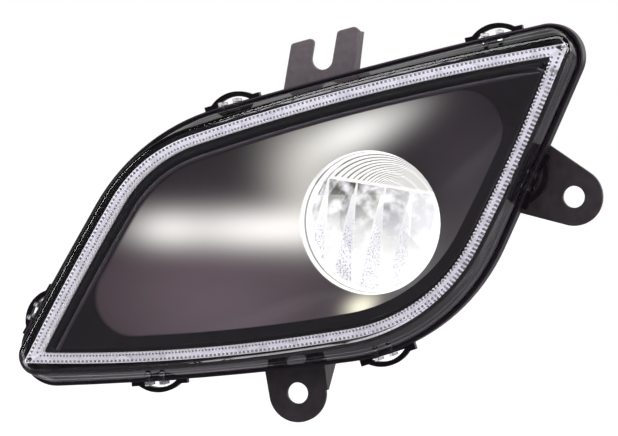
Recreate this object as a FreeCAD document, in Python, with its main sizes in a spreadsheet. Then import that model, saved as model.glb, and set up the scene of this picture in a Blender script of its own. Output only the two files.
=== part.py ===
# Right-hand front fog lamp: a leaf-shaped clear lens on a black housing, with a ribbed light guide round the
# edge, a dished bezel, one round LED optic with a heat sink behind it, and three steel brackets.
# Modelled about the optical axis: X to the right, Z up, the front faces -Y. Depths are written as "front",
# the distance forward of the joint plane between lens and housing, so a front of 5 lies at Y = -5.
import FreeCAD, Part
import math
import os
import re
import Sketcher

Vector = FreeCAD.Vector
Rotation = FreeCAD.Rotation
Placement = FreeCAD.Placement

# Driving sizes, in millimetres and degrees. A side of the leaf is a long arc: its angle is the direction of
# travel, counter-clockwise, and its land is the distance from the optic's edge.
SIZES = {
    # outline of the housing's rim
    "rim_bottom_angle": 8.9,
    "rim_bottom_land": 28.6,
    "rim_bottom_radius": 1545,
    "rim_right_angle": 65.5,
    "rim_right_land": 28.8,
    "rim_right_radius": 6000,
    "rim_top_angle": 14.5,
    "rim_top_land": 35.9,
    "rim_top_radius": 2570,
    "rim_left_angle": 58.9,
    "rim_left_land": 81.6,
    "rim_left_radius": 6000,
    "rim_shoulder": 98.9,
    "rim_belly": 91.3,
    # outline of the light guide, turned and stepped in from the rim
    "face_bottom_turn": 2.7,
    "face_bottom_step": 11.4,
    "face_bottom_radius": 817,
    "face_right_turn": -4.2,
    "face_right_step": 9.8,
    "face_right_radius": 796,
    "face_top_turn": 0.1,
    "face_top_step": 8.2,
    "face_top_radius": 1083,
    "face_left_turn": -2.7,
    "face_left_step": 9.9,
    "face_left_radius": 1297,
    "face_shoulder": 68.6,
    "face_belly": 82.9,
    "face_tip": 0.8,
    # housing
    "lip_front": 2.0,
    "lip_round": 1.0,
    "rim_lip": 1.6,
    "groove_width": 4.9,
    "groove_depth": 6.0,
    "flange_floor": 4.0,
    "inner_lip": 2.0,
    "housing_wall": 2.5,
    "bowl_depth": 37.0,
    "bowl_taper": 18.0,
    "bowl_tip": 20.0,
    "barrel_wall": 3.1,
    "barrel_front": -26.0,
    "barrel_length": 40.0,
    "clip_length": 27.0,
    "clip_height": 5.8,
    "clip_tab": 2.2,
    "clip_tab_width": 3.5,
    "clip_bar": 2.3,
    "clip_root": 2.2,
    "clip_slot_start": 0.5,
    "boss_radius": 4.0,
    "pilot_radius": 1.5,
    "pilot_floor": 1.2,
    "boss_floor": 1.0,
    "bezel_boss_radius": 3.4,
    "sink_boss_radius": 5.0,
    "sink_boss_length": 14.0,
    "sink_pilot_depth": 12.0,
    "barrel_step": 1.0,
    # outer lens
    "lens_wall": 2.0,
    "lens_gap": 0.5,
    "foot_gap": 0.4,
    "slip_gap": 0.1,
    "over_cut": 1.0,
    "ledge_front": 4.0,
    "seal_thickness": 1.2,
    "crown_front": 20.0,
    "crown_radius": 2800,
    "crown_edge": 3.0,
    "hook_offset": 3.5,
    "hook_width": 2.0,
    "hook_thickness": 1.6,
    "hook_inside": 0.6,
    "hook_outside": 1.9,
    # light guides, their white strip and their LED boards
    "guide_front": 12.0,
    "guide_depth": 8.0,
    "guide_width": 4.5,
    "prism_pitch": 2.0,
    "prism_depth": 0.8,
    "strip_thickness": 1.2,
    "stub_radius": 1.2,
    "tip_gap": 0.1,
    "tip_pin_radius": 0.9,
    "tip_pin_inset": 3.6,
    "guide_board_length": 11.0,
    "guide_board_low": 7.0,
    "guide_board_high": 1.3,
    "board_thickness": 1.2,
    # bezel
    "shelf_thickness": 2.0,
    "shelf_margin": 0.2,
    "bezel_gap": 2.0,
    "bezel_drop": 5.5,
    "bezel_rim": 5.0,
    "bezel_wall": 2.0,
    "dish_tip": 18.0,
    "dish_floor": -8.0,
    # optic
    "optic_radius": 33.3,
    "collar_length": 15.0,
    "collar_taper": 1.6,
    "collar_wall": 3.2,
    "optic_thickness": 3.0,
    "optic_seat": 4.2,
    "flange_thickness": 3.0,
    "reflector_depth": 30.0,
    "reflector_wall": 1.6,
    "mouth_step": 2.0,
    "reflector_waist": 25.0,
    "reflector_waist_depth": 19.5,
    "reflector_end": 10.0,
    "shade_height": 12.0,
    "ring_pitch": 4.0,
    "ring_height": 0.8,
    "ring_land": 1.0,
    "plate_thickness": 2.4,
    "board_setback": 6.4,
    "board_end_gap": 4.0,
    "emitter_size": 3.0,
    "emitter_pitch": 4.8,
    "emitter_seat": 0.6,
    # heat sink
    "gasket_thickness": 1.2,
    "sink_border": 9.0,
    "sink_base": 5.0,
    "sink_bolt_step": 3.5,
    "fin_step": 1.5,
    "fin_length": 26.0,
    "fin_pitch": 8.0,
    "fin_gap": 5.6,
    "shelf_width": 28.0,
    "shelf_height": 12.0,
    "shelf_border": 2.0,
    # connector, vent and driver board
    "socket_width": 26.0,
    "socket_height": 16.0,
    "socket_wall": 2.0,
    "socket_length": 18.0,
    "socket_flange": 4.0,
    "latch_width": 8.0,
    "latch_height": 1.6,
    "latch_length": 4.0,
    "latch_setback": 6.0,
    "terminal_width": 2.2,
    "terminal_pitch": 6.0,
    "terminal_thickness": 0.8,
    "terminal_stub": 1.0,
    "terminal_reach": 12.0,
    "socket_inset": 1.0,
    "vent_radius": 6.0,
    "driver_length": 50.0,
    "driver_height": 34.0,
    "post_height": 5.5,
    "post_radius": 3.0,
    # brackets
    "steel_thickness": 2.5,
    "boss_height": 3.0,
    "bracket_lap": 7.0,
    "bracket_screw_inset": 4.5,
    "bracket_screw_offset": 9.5,
    "ear_hole_radius": 5.0,
    "lower_ear_reach": 12.1,
    "lower_ear_radius": 13.6,
    "lower_ear_root": 14.6,
    "lower_flange_depth": 26.0,
    "lower_flange_start": 1.0,
    "right_ear_reach": 18.8,
    "right_ear_radius": 13.2,
    "right_ear_root": 18.0,
    "fork_width": 34.4,
    "fork_height": 20.2,
    "fork_lean": 24.5,
    "fork_slot_radius": 5.0,
    "fork_slot_depth": 15.5,
    "fork_flange_depth": 14.0,
    "fork_flange_end": 8.4,
    "fork_flange_start": 2.0,
    "fork_corner": 2.0,
    "fork_blunt": 3.2,
    "bend_radius": 1.8,
    # screws
    "screw_radius": 1.4,
    "screw_head_radius": 3.0,
    "screw_head_height": 2.2,
    "screw_hole_gap": 0.3,
    "bezel_screw_head": 1.45,
    "bracket_screw_bite": 2.0,
    "sink_screw_bite": 10.0,
    "bezel_screw_bite": 6.0,
}

# Places round the rim, as bearings from the optical axis, counter-clockwise from +X.
CLIP_BEARINGS = (14.4, 55.5, 139.8, 195.1, 216.6, 278.7)
BOSS_BEARINGS = (351, 75, 140, 188, 232)
STUB_BEARINGS = {"upper": 199.5, "lower": 37.5}
LOWER_EAR_BEARING = 241.6
RIGHT_EAR_BEARING = 14.6
FORK_BEARING = 111.2
SOCKET_CENTRE = (-71, -6)
VENT_CENTRE = (-104, -24)
SINK_BOLT_BEARINGS = (45, 135, 225, 315)
FACETS = 22
FINS = 9
# Parts on the driver board: left and low edge from its middle, width, height, and how far they stand up.
DRIVER_PARTS = ((-20, -12, 12, 10, 6), (-20, 3, 8, 8, 9), (-8, 5, 8, 8, 9), (8, -13, 13, 8, 3))

# Closer than this counts as touching when edges are picked, in millimetres.
TOUCH = 0.001

doc = FreeCAD.newDocument("fog_lamp")
sheet = doc.addObject("Spreadsheet::Sheet", "sizes")
for row, (alias, value) in enumerate(SIZES.items(), start=1):
    sheet.set(f"A{row}", alias)
    sheet.set(f"B{row}", str(value))
    sheet.setAlias(f"B{row}", alias)
doc.recompute()
nodes = {}


# Expressions and sketches

def cell(text):
    """Turn plain words such as rim_lip + 1 into an expression on the sheet's cells."""
    return re.sub(r"[a-z]+(?:_[a-z]+)+", lambda word: "sizes." + word.group(0), text)


def number(text):
    return float(sheet.evalExpression(cell(text)))


def bind(item, name, text):
    item.setExpression(name, cell(text))


def origin_plane(body, role):
    return next(plane for plane in body.Origin.OriginFeatures if plane.Role == role)


def new_body(name):
    return doc.addObject("PartDesign::Body", name)


def new_sketch(body, front, x=0, z=0, turn=0):
    """A sketch that faces forward, with its own origin at x, z and turned by an angle."""
    sketch = body.newObject("Sketcher::SketchObject", "outline")
    sketch.AttachmentSupport = [(origin_plane(body, "XZ_Plane"), "")]
    sketch.MapMode = "FlatFace"
    sketch.AttachmentOffset = Placement(Vector(x, z, 0), Rotation(Vector(0, 0, 1), turn))
    bind(sketch, "AttachmentOffset.Base.z", front)
    return sketch


def section_sketch(body):
    """A sketch on the YZ plane for turned pieces: across is backwards, up is the radius."""
    sketch = body.newObject("Sketcher::SketchObject", "section")
    sketch.AttachmentSupport = [(origin_plane(body, "YZ_Plane"), "")]
    sketch.MapMode = "FlatFace"
    return sketch


def constrain(sketch, rules):
    """Add constraints. A rule's last item is its size, as an expression or a number, or None."""
    added = []
    for kind, places, size in rules:
        value = () if size is None else (number(size) if isinstance(size, str) else size,)
        added.append(Sketcher.Constraint(kind, *places, *value))
    first = sketch.ConstraintCount
    sketch.addConstraint(added)
    for index, (kind, places, size) in enumerate(rules, start=first):
        if isinstance(size, str):
            bind(sketch, f"Constraints[{index}]", size)


def polygon(sketch, corners):
    """A closed outline of straight lines through corners given as pairs of expressions."""
    points = [Vector(number(across), number(up), 0) for across, up in corners]
    first = sketch.GeometryCount
    count = len(points)
    sketch.addGeometry([Part.LineSegment(points[i], points[(i + 1) % count]) for i in range(count)])
    rules = [("Coincident", (first + i, 2, first + (i + 1) % count, 1), None) for i in range(count)]
    for i, (across, up) in enumerate(corners, start=first):
        rules.append(("DistanceX", (-1, 1, i, 1), across))
        rules.append(("DistanceY", (-1, 1, i, 1), up))
    constrain(sketch, rules)


def arched(sketch, corners, radius):
    """A closed outline of straight lines through corners, closed by an arc from the last to the first."""
    points = [Vector(number(across), number(up), 0) for across, up in corners]
    start, end = points[-1], points[0]
    reach = number(radius)
    middle = (start + end) / 2
    centre = middle - Vector(0, math.sqrt(reach ** 2 - (start - middle).Length ** 2), 0)
    angles = [math.atan2(point.y - centre.y, point.x - centre.x) for point in (start, end)]
    first = sketch.GeometryCount
    last = len(points) - 1
    sketch.addGeometry([Part.LineSegment(points[i], points[i + 1]) for i in range(last)])
    sketch.addGeometry(Part.ArcOfCircle(Part.Circle(centre, Vector(0, 0, 1), reach), *angles))
    rules = [("Coincident", (first + i, 2, first + i + 1, 1), None) for i in range(last)]
    rules.append(("Coincident", (first + last, 2, first, 1), None))
    for i, (across, up) in enumerate(corners):
        place = (first + i, 1) if i < last else (first + last, 1)
        rules.append(("DistanceX", (-1, 1, *place), across))
        rules.append(("DistanceY", (-1, 1, *place), up))
    rules.append(("Radius", (first + last,), radius))
    constrain(sketch, rules)


def rectangle(sketch, left, right, low, high):
    polygon(sketch, [(left, low), (right, low), (right, high), (left, high)])


def circle(sketch, radius, x=0.0, z=0.0):
    first = sketch.GeometryCount
    sketch.addGeometry(Part.Circle(Vector(x, z, 0), Vector(0, 0, 1), number(radius)))
    constrain(sketch, [("DistanceX", (-1, 1, first, 3), x), ("DistanceY", (-1, 1, first, 3), z),
                       ("Radius", (first,), radius)])


def pad(body, sketch, length):
    """Fill the sketch backwards from its plane."""
    feature = body.newObject("PartDesign::Pad", "pad")
    feature.Profile = sketch
    feature.Reversed = True
    bind(feature, "Length", length)
    return feature


def pocket(body, sketch, length):
    """Cut the sketch backwards from its plane."""
    feature = body.newObject("PartDesign::Pocket", "pocket")
    feature.Profile = sketch
    bind(feature, "Length", length)
    return feature


def loft(body, kind, sketches):
    feature = body.newObject(f"PartDesign::{kind}Loft", "loft")
    feature.Profile = (sketches[0], [""])
    feature.Sections = [(sketch, [""]) for sketch in sketches[1:]]
    feature.Ruled = True
    return feature


def round_edges(body, radius, chosen):
    """Round those edges of the body's last feature that a test chooses."""
    doc.recompute()
    base = body.Tip
    names = [f"Edge{i}" for i, edge in enumerate(base.Shape.Edges, start=1) if chosen(edge)]
    feature = body.newObject("PartDesign::Fillet", "rounding")
    feature.Base = (base, names)
    bind(feature, "Radius", radius)
    return feature


def lies_at(edge, front):
    """True for an edge that lies wholly at one front."""
    box = edge.BoundBox
    return max(abs(box.YMin + front), abs(box.YMax + front)) < TOUCH


def revolve(body, sketch):
    feature = body.newObject("PartDesign::Revolution", "turned")
    feature.Profile = sketch
    feature.ReferenceAxis = (sketch, ["H_Axis"])
    feature.Angle = 360
    return feature


def discs(body, front, length, radius, places=((0, 0),), cut=False):
    """Round bosses, or holes, at one or more places."""
    sketch = new_sketch(body, front)
    for x, z in places:
        circle(sketch, radius, x, z)
    return pocket(body, sketch, length) if cut else pad(body, sketch, length)


def block(body, front, length, edges, x=0, z=0, turn=0, cut=False):
    sketch = new_sketch(body, front, x, z, turn)
    rectangle(sketch, *edges)
    return pocket(body, sketch, length) if cut else pad(body, sketch, length)


# The leaf outline

SIDES = ("bottom", "right", "top", "left")


def side_terms(leaf, side):
    """Angle, reach and radius of one side as expressions."""
    half_turn = "180" if side in ("top", "left") else "0"
    angle = f"({half_turn} + rim_{side}_angle)"
    reach = f"(optic_radius + rim_{side}_land)"
    if leaf == "rim":
        return angle, reach, f"rim_{side}_radius"
    return f"({angle} + face_{side}_turn)", f"({reach} - face_{side}_step)", f"face_{side}_radius"


def side_circle(leaf, side):
    """Centre of a side's arc, across and up, and its radius, as expressions."""
    angle, reach, radius = side_terms(leaf, side)
    return f"({reach} - {radius}) * sin({angle})", f"({radius} - {reach}) * cos({angle})", radius


def meet(first, second, near):
    """Where two circles (centre, radius) cross, on the side of a nearby point."""
    apart = second[0] - first[0]
    along = (apart.Length ** 2 + first[1] ** 2 - second[1] ** 2) / (2 * apart.Length)
    across = math.sqrt(max(0.0, first[1] ** 2 - along ** 2))
    ahead = Vector(apart).normalize()
    aside = Vector(-ahead.y, ahead.x, 0)
    crossings = [first[0] + ahead * along + aside * across * sign for sign in (1, -1)]
    return min(crossings, key=lambda point: point.distanceToPoint(near))


def leaf_circles(leaf):
    circles = []
    for side in SIDES:
        across, up, radius = side_circle(leaf, side)
        circles.append((Vector(number(across), number(up), 0), number(radius)))
    return circles


def rough_corner(leaf, index):
    """The corner after a side, taken as if both sides were straight."""
    lines = []
    for side in (SIDES[index], SIDES[(index + 1) % 4]):
        angle, reach, radius = side_terms(leaf, side)
        lines.append((math.radians(number(angle)), number(reach)))
    (angle, reach), (next_angle, next_reach) = lines
    ahead = (next_reach - reach * math.cos(next_angle - angle)) / math.sin(next_angle - angle)
    return Vector(reach * math.sin(angle) + ahead * math.cos(angle),
                  ahead * math.sin(angle) - reach * math.cos(angle), 0)


def corner_centre(circles, index, radius, near):
    first, second = circles[index], circles[(index + 1) % 4]
    return meet((first[0], first[1] - radius), (second[0], second[1] - radius), near)


def rim_tip(index):
    """Radius of a rim tip that leaves room for lip, lens foot and wall round the light guide's tip."""
    circles = leaf_circles("rim")
    near = rough_corner("rim", index)
    guide_circles = leaf_circles("face")
    guide_tip = meet(guide_circles[index], guide_circles[(index + 1) % 4], rough_corner("face", index))
    outward = (near - guide_tip).normalize()
    cover = number("rim_lip + foot_gap + lens_wall + lens_gap")
    low, high = 1.0, 60.0
    for step in range(50):
        radius = (low + high) / 2
        spare = radius + (corner_centre(circles, index, radius, near) - guide_tip).dot(outward)
        low, high = (radius, high) if spare > cover else (low, radius)
    return radius


RIM_TIPS = {index: rim_tip(index) for index in (1, 3)}


def corner_radii(leaf, inset, tip):
    """Radii of the four corners: expressions, or a number at the rim's own tips."""
    tips = {index: RIM_TIPS[index] - number(inset) if tip is None else tip for index in (1, 3)}
    return [f"{leaf}_belly - ({inset})", tips[1], f"{leaf}_shoulder - ({inset})", tips[3]]


def leaf_arcs(leaf, inset, tip=None):
    """The outline as arcs (centre, radius, start angle, end angle): side, corner, side, corner..."""
    circles = [(centre, radius - number(inset)) for centre, radius in leaf_circles(leaf)]
    corners = []
    for index, radius in enumerate(corner_radii(leaf, inset, tip)):
        radius = number(radius) if isinstance(radius, str) else radius
        corners.append((corner_centre(circles, index, radius, rough_corner(leaf, index)), radius))
    touches = []
    for index, (centre, radius) in enumerate(corners):
        pair = []
        for middle, reach in (circles[index], circles[(index + 1) % 4]):
            pair.append(middle + (centre - middle).normalize() * reach)
        touches.append(pair)
    arcs = []
    for index in range(4):
        for (centre, radius), start, end in (
                (circles[index], touches[index - 1][1], touches[index][0]),
                (corners[index], touches[index][0], touches[index][1])):
            first = math.atan2(start.y - centre.y, start.x - centre.x)
            last = math.atan2(end.y - centre.y, end.x - centre.x)
            arcs.append((centre, radius, first, last if last > first else last + 2 * math.pi))
    return arcs


def leaf_loop(sketch, leaf, inset, tip=None):
    """Draw one leaf outline: four long arcs and four corner arcs, tangent all round."""
    first = sketch.GeometryCount
    arcs = leaf_arcs(leaf, inset, tip)
    sketch.addGeometry([Part.ArcOfCircle(Part.Circle(centre, Vector(0, 0, 1), radius), start, end)
                        for centre, radius, start, end in arcs])
    radii = corner_radii(leaf, inset, tip)
    rules = []
    for index, side in enumerate(SIDES):
        across, up, radius = side_circle(leaf, side)
        arc = first + 2 * index
        rules.append(("DistanceX", (-1, 1, arc, 3), across))
        rules.append(("DistanceY", (-1, 1, arc, 3), up))
        rules.append(("Radius", (arc,), f"{radius} - ({inset})"))
        rules.append(("Radius", (arc + 1,), radii[index]))
    for index in range(8):
        rules.append(("Tangent", (first + index, 2, first + (index + 1) % 8, 1), None))
    constrain(sketch, rules)


def leaf_sketch(body, front, *loops):
    sketch = new_sketch(body, front)
    for loop in loops:
        leaf_loop(sketch, *loop)
    return sketch


def outline_point(arcs, bearing):
    """Where a ray from the optical axis crosses an outline, with the outward direction there in degrees."""
    ray = Vector(math.cos(math.radians(bearing)), math.sin(math.radians(bearing)), 0)
    for centre, radius, start, end in arcs:
        along = ray.dot(centre)
        inside = along ** 2 - centre.Length ** 2 + radius ** 2
        if inside < 0:
            continue
        for root in (along + math.sqrt(inside), along - math.sqrt(inside)):
            point = ray * root
            angle = math.atan2(point.y - centre.y, point.x - centre.x)
            if root > 0 and (angle - start) % (2 * math.pi) <= end - start:
                return point, math.degrees(angle)
    raise ValueError(f"no outline at bearing {bearing}")


RIM_ARCS = leaf_arcs("rim", "0")


def rim_place(bearing, across=0.0, inset=0.0):
    """x, z and turn of a frame on the rim: its up is outwards, shifted along and in from the rim."""
    point, outward = outline_point(RIM_ARCS, bearing)
    turn = outward - 90
    along = Vector(math.cos(math.radians(turn)), math.sin(math.radians(turn)), 0)
    out = Vector(math.cos(math.radians(outward)), math.sin(math.radians(outward)), 0)
    place = point + along * across - out * inset
    return place.x, place.y, turn


def rim_inset(x, z):
    """How far a point lies inside the rim."""
    point = Vector(x, z, 0)
    depths = []
    for centre, radius, start, end in RIM_ARCS:
        away = point - centre
        if (math.atan2(away.y, away.x) - start) % (2 * math.pi) <= end - start:
            depths.append(radius - away.Length)
    return min(depths)


def face_place(bearing, inset):
    point, outward = outline_point(leaf_arcs("face", "0", "face_tip"), bearing)
    out = Vector(math.cos(math.radians(outward)), math.sin(math.radians(outward)), 0)
    place = point - out * inset
    return place.x, place.y, outward - 90


# Levels that several pieces share, as fronts
GROOVE_FLOOR = "lip_front - groove_depth"
FLANGE_BACK = "lip_front - groove_depth - flange_floor"
BOWL_BACK = f"{FLANGE_BACK} - bowl_depth"
FOOT_BACK = f"{GROOVE_FLOOR} + seal_thickness"
GUIDE_BACK = "guide_front - guide_depth"
SHELF_FRONT = f"{GUIDE_BACK} - strip_thickness"
SHELF_BACK = f"{SHELF_FRONT} - shelf_thickness"
BEZEL_FRONT = "guide_front - bezel_drop"
COLLAR_FRONT = "dish_floor - bezel_wall"
OPTIC_FRONT = f"{COLLAR_FRONT} - collar_length"
REFLECTOR_FRONT = f"{OPTIC_FRONT} - optic_thickness"
STEP_FRONT = f"{REFLECTOR_FRONT} - flange_thickness"
BARREL_BACK = "barrel_front - barrel_length"
SINK_FRONT = f"{BARREL_BACK} - gasket_thickness"
SINK_BACK = f"{SINK_FRONT} - sink_base"
BRACKET_FRONT = f"{FLANGE_BACK} - boss_height"
BRACKET_BACK = f"{BRACKET_FRONT} - steel_thickness"

# Radii about the optical axis
OPTIC_FLANGE = "(optic_radius + optic_seat)"
MOUTH_RADIUS = f"({OPTIC_FLANGE} - mouth_step)"
BARREL_RADIUS = f"({OPTIC_FLANGE} + foot_gap + barrel_wall)"
FIN_RADIUS = f"({BARREL_RADIUS} - fin_step)"

# Insets from the two outlines
GROOVE_INSIDE = "rim_lip + groove_width"
MOUTH = f"{GROOVE_INSIDE} + inner_lip"
BOWL_STEP = f"{MOUTH} - housing_wall"
FOOT = "rim_lip + foot_gap"
BEZEL_EDGE = "guide_width + bezel_gap"
DISH_EDGE = f"{BEZEL_EDGE} + bezel_rim"
GUIDE_MIDDLE = number("guide_width") / 2
STUB_INSET = number("guide_width - prism_depth - stub_radius - slip_gap")

BRACKET_BEARINGS = (LOWER_EAR_BEARING, RIGHT_EAR_BEARING, FORK_BEARING)


def screw_pair(bearing):
    """The two screws that hold a bracket, beside each other on the rim's flange."""
    offset = number("bracket_screw_offset")
    inset = number("bracket_screw_inset")
    return [rim_place(bearing, across, inset)[:2] for across in (-offset, offset)]


def bracket_screw_places():
    return [place for bearing in BRACKET_BEARINGS for place in screw_pair(bearing)]


def sink_bolt_places():
    radius = number(f"{BARREL_RADIUS} + sink_bolt_step")
    angles = [math.radians(bearing) for bearing in SINK_BOLT_BEARINGS]
    return [(radius * math.cos(angle), radius * math.sin(angle)) for angle in angles]


def bezel_boss_places():
    return [face_place(bearing, GUIDE_MIDDLE)[:2] for bearing in BOSS_BEARINGS]


def stub_places():
    return [face_place(bearing, STUB_INSET)[:2] for bearing in STUB_BEARINGS.values()]


def driver_post_places():
    half_length = number("driver_length / 2 - boss_radius")
    half_height = number("driver_height / 2 - boss_radius")
    x, z = SOCKET_CENTRE
    return [(x + i * half_length, z + k * half_height) for i in (-1, 1) for k in (-1, 1)]


def clip_outline(sketch):
    """An arched loop between two square tabs, with a slot under the arch."""
    half = "clip_length / 2"
    span = f"({half} - clip_tab_width)"
    rise = "(clip_height - clip_tab)"
    radius = f"({span} ^ 2 + {rise} ^ 2) / (2 * {rise})"
    arched(sketch, [(f"-{span}", "clip_tab"), (f"-{half}", "clip_tab"), (f"-{half}", "-clip_root"),
                    (half, "-clip_root"), (half, "clip_tab"), (span, "clip_tab")], radius)
    inner = f"({radius} - clip_bar)"
    drop = f"({radius} - clip_height + clip_slot_start)"
    slot = f"sqrt({inner} ^ 2 - {drop} ^ 2)"
    arched(sketch, [(f"-{slot}", "clip_slot_start"), (slot, "clip_slot_start")], inner)


def make_housing():
    body = new_body("housing")
    pad(body, leaf_sketch(body, "lip_front", ("rim", "0")), "groove_depth + flange_floor")
    round_edges(body, "lip_round", lambda edge: lies_at(edge, number("lip_front")))
    loft(body, "Additive", [
        leaf_sketch(body, FLANGE_BACK, ("rim", BOWL_STEP)),
        leaf_sketch(body, BOWL_BACK, ("rim", f"{BOWL_STEP} + bowl_taper", "bowl_tip"))])
    pocket(body, leaf_sketch(body, "lip_front", ("rim", "rim_lip"), ("rim", GROOVE_INSIDE)), "groove_depth")
    pocket(body, leaf_sketch(body, "lip_front", ("rim", GROOVE_INSIDE)), f"lip_front - ({SHELF_BACK})")
    pocket(body, leaf_sketch(body, "lip_front", ("rim", MOUTH)), "groove_depth + flange_floor")
    loft(body, "Subtractive", [
        leaf_sketch(body, FLANGE_BACK, ("rim", MOUTH)),
        leaf_sketch(body, f"{BOWL_BACK} + housing_wall",
                    ("rim", f"{MOUTH} + bowl_taper", "bowl_tip - housing_wall"))])
    # barrel for the optic, with a step that the reflector's flange sits on
    discs(body, "barrel_front", "barrel_length", BARREL_RADIUS)
    discs(body, f"{BARREL_BACK} + sink_boss_length", "sink_boss_length", "sink_boss_radius",
          sink_bolt_places())
    discs(body, "barrel_front", f"barrel_front - ({STEP_FRONT})", f"{OPTIC_FLANGE} + foot_gap", cut=True)
    discs(body, "barrel_front", "barrel_length", f"{OPTIC_FLANGE} - barrel_step", cut=True)
    discs(body, f"{BARREL_BACK} + sink_pilot_depth", "sink_pilot_depth", "pilot_radius", sink_bolt_places(),
          cut=True)
    # clip loops round the rim
    for bearing in CLIP_BEARINGS:
        sketch = new_sketch(body, GROOVE_FLOOR, *rim_place(bearing))
        clip_outline(sketch)
        pad(body, sketch, "flange_floor")
    # bosses under the bezel, behind the flange for the brackets, and inside for the driver board
    boss_length = f"{SHELF_BACK} - ({FLANGE_BACK})"
    discs(body, SHELF_BACK, boss_length, "bezel_boss_radius", bezel_boss_places())
    for bearing in BOSS_BEARINGS:
        x, z, turn = face_place(bearing, GUIDE_MIDDLE)
        web = f"{rim_inset(x, z)} - ({GROOVE_INSIDE}) - inner_lip / 2"
        block(body, SHELF_BACK, boss_length,
              ("-boss_radius / 2", "boss_radius / 2", "boss_radius / 2", web), x, z, turn)
    discs(body, SHELF_BACK, f"{boss_length} - boss_floor", "pilot_radius", bezel_boss_places(), cut=True)
    discs(body, FLANGE_BACK, "boss_height", "boss_radius", bracket_screw_places())
    discs(body, f"{GROOVE_FLOOR} - pilot_floor", "flange_floor + boss_height", "pilot_radius",
          bracket_screw_places(), cut=True)
    discs(body, f"{BOWL_BACK} + housing_wall + post_height", "post_height", "post_radius",
          driver_post_places())
    # openings for the connector and the vent
    x, z = SOCKET_CENTRE
    across, up = "socket_width / 2", "socket_height / 2"
    block(body, f"{BOWL_BACK} + housing_wall + over_cut", "housing_wall + 2 * over_cut",
          (f"-{across}", across, f"-{up}", up), x, z, cut=True)
    discs(body, f"{BOWL_BACK} + housing_wall + over_cut", "housing_wall + 2 * over_cut", "vent_radius / 2",
          [VENT_CENTRE], cut=True)
    nodes["housing"] = body


def ball(name, front, radius):
    """A large ball whose foremost point is at a front, on the optical axis."""
    sphere = doc.addObject("Part::Sphere", name)
    bind(sphere, "Radius", radius)
    bind(sphere, "Placement.Base.y", f"{radius} - ({front})")
    return sphere


def common(name, first, second):
    item = doc.addObject("Part::Common", name)
    item.Base = first
    item.Tool = second
    return item


def make_lens():
    skin = "lens_wall + lens_gap"
    outside = new_body("lens_outside")
    loft(outside, "Additive", [
        leaf_sketch(outside, "ledge_front", ("rim", FOOT)),
        leaf_sketch(outside, "crown_front", ("face", f"-({skin})", f"face_tip + {skin}"))])
    pad(outside, leaf_sketch(outside, "ledge_front", ("rim", FOOT)), f"ledge_front - ({FOOT_BACK})")
    # snap hooks that reach over the housing's lip and down through the slots of the clip loops
    for bearing in CLIP_BEARINGS:
        for low, length in ((f"-({FOOT}) - foot_gap", "hook_thickness"),
                            ("hook_inside", f"ledge_front - ({GROOVE_FLOOR}) + flange_floor / 2")):
            sketch = new_sketch(outside, "ledge_front", *rim_place(bearing))
            for centre in ("-hook_offset", "hook_offset"):
                rectangle(sketch, f"{centre} - hook_width / 2", f"{centre} + hook_width / 2",
                          low, "hook_outside")
            pad(outside, sketch, length)
    inside = new_body("lens_inside")
    loft(inside, "Additive", [
        leaf_sketch(inside, "ledge_front - lens_wall", ("rim", f"{FOOT} + lens_wall")),
        leaf_sketch(inside, "crown_front", ("face", "-lens_gap", "face_tip + lens_gap"))])
    pad(inside, leaf_sketch(inside, "ledge_front - lens_wall", ("rim", f"{FOOT} + lens_wall")),
        f"ledge_front - lens_wall - ({FOOT_BACK}) + over_cut")
    crowned = common("lens_crowned", outside, ball("crown", "crown_front", "crown_radius"))
    rounded = doc.addObject("Part::Fillet", "lens_rounded")
    rounded.Base = crowned
    doc.recompute()
    crown = next(face for face in crowned.Shape.Faces if isinstance(face.Surface, Part.Sphere))
    radius = number("crown_edge")
    rounded.Edges = [(index, radius, radius) for index, edge in enumerate(crowned.Shape.Edges, start=1)
                     if any(edge.isSame(other) for other in crown.Edges)]
    lens = doc.addObject("Part::Cut", "outer_lens")
    lens.Base = rounded
    lens.Tool = common("lens_hollow", inside, ball("hollow", "crown_front - lens_wall", "crown_radius"))
    nodes["outer_lens"] = lens

    seal = new_body("lens_seal")
    pad(seal, leaf_sketch(seal, FOOT_BACK, ("rim", "rim_lip + slip_gap"),
                          ("rim", f"{GROOVE_INSIDE} - slip_gap")), "seal_thickness")
    nodes["lens_seal"] = seal


def round_sketch(body, front, radius, arcs):
    """A circle drawn as eight arcs that end in line with the ends of a leaf outline's arcs."""
    sketch = new_sketch(body, front)
    ends = [centre + Vector(math.cos(start), math.sin(start), 0) * reach
            for centre, reach, start, end in arcs]
    angles = [math.atan2(end.y, end.x) for end in ends]
    ring = Part.Circle(Vector(0, 0, 0), Vector(0, 0, 1), number(radius))
    for start, end in zip(angles, angles[1:] + angles[:1]):
        sketch.addGeometry(Part.ArcOfCircle(ring, start, end if end > start else end + 2 * math.pi))
    rules = [("Coincident", (i, 3, -1, 1), None) for i in range(8)]
    rules += [("Coincident", (i, 2, i + 1, 1), None) for i in range(7)]
    rules.append(("Radius", (0,), radius))
    constrain(sketch, rules)
    return sketch


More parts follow.
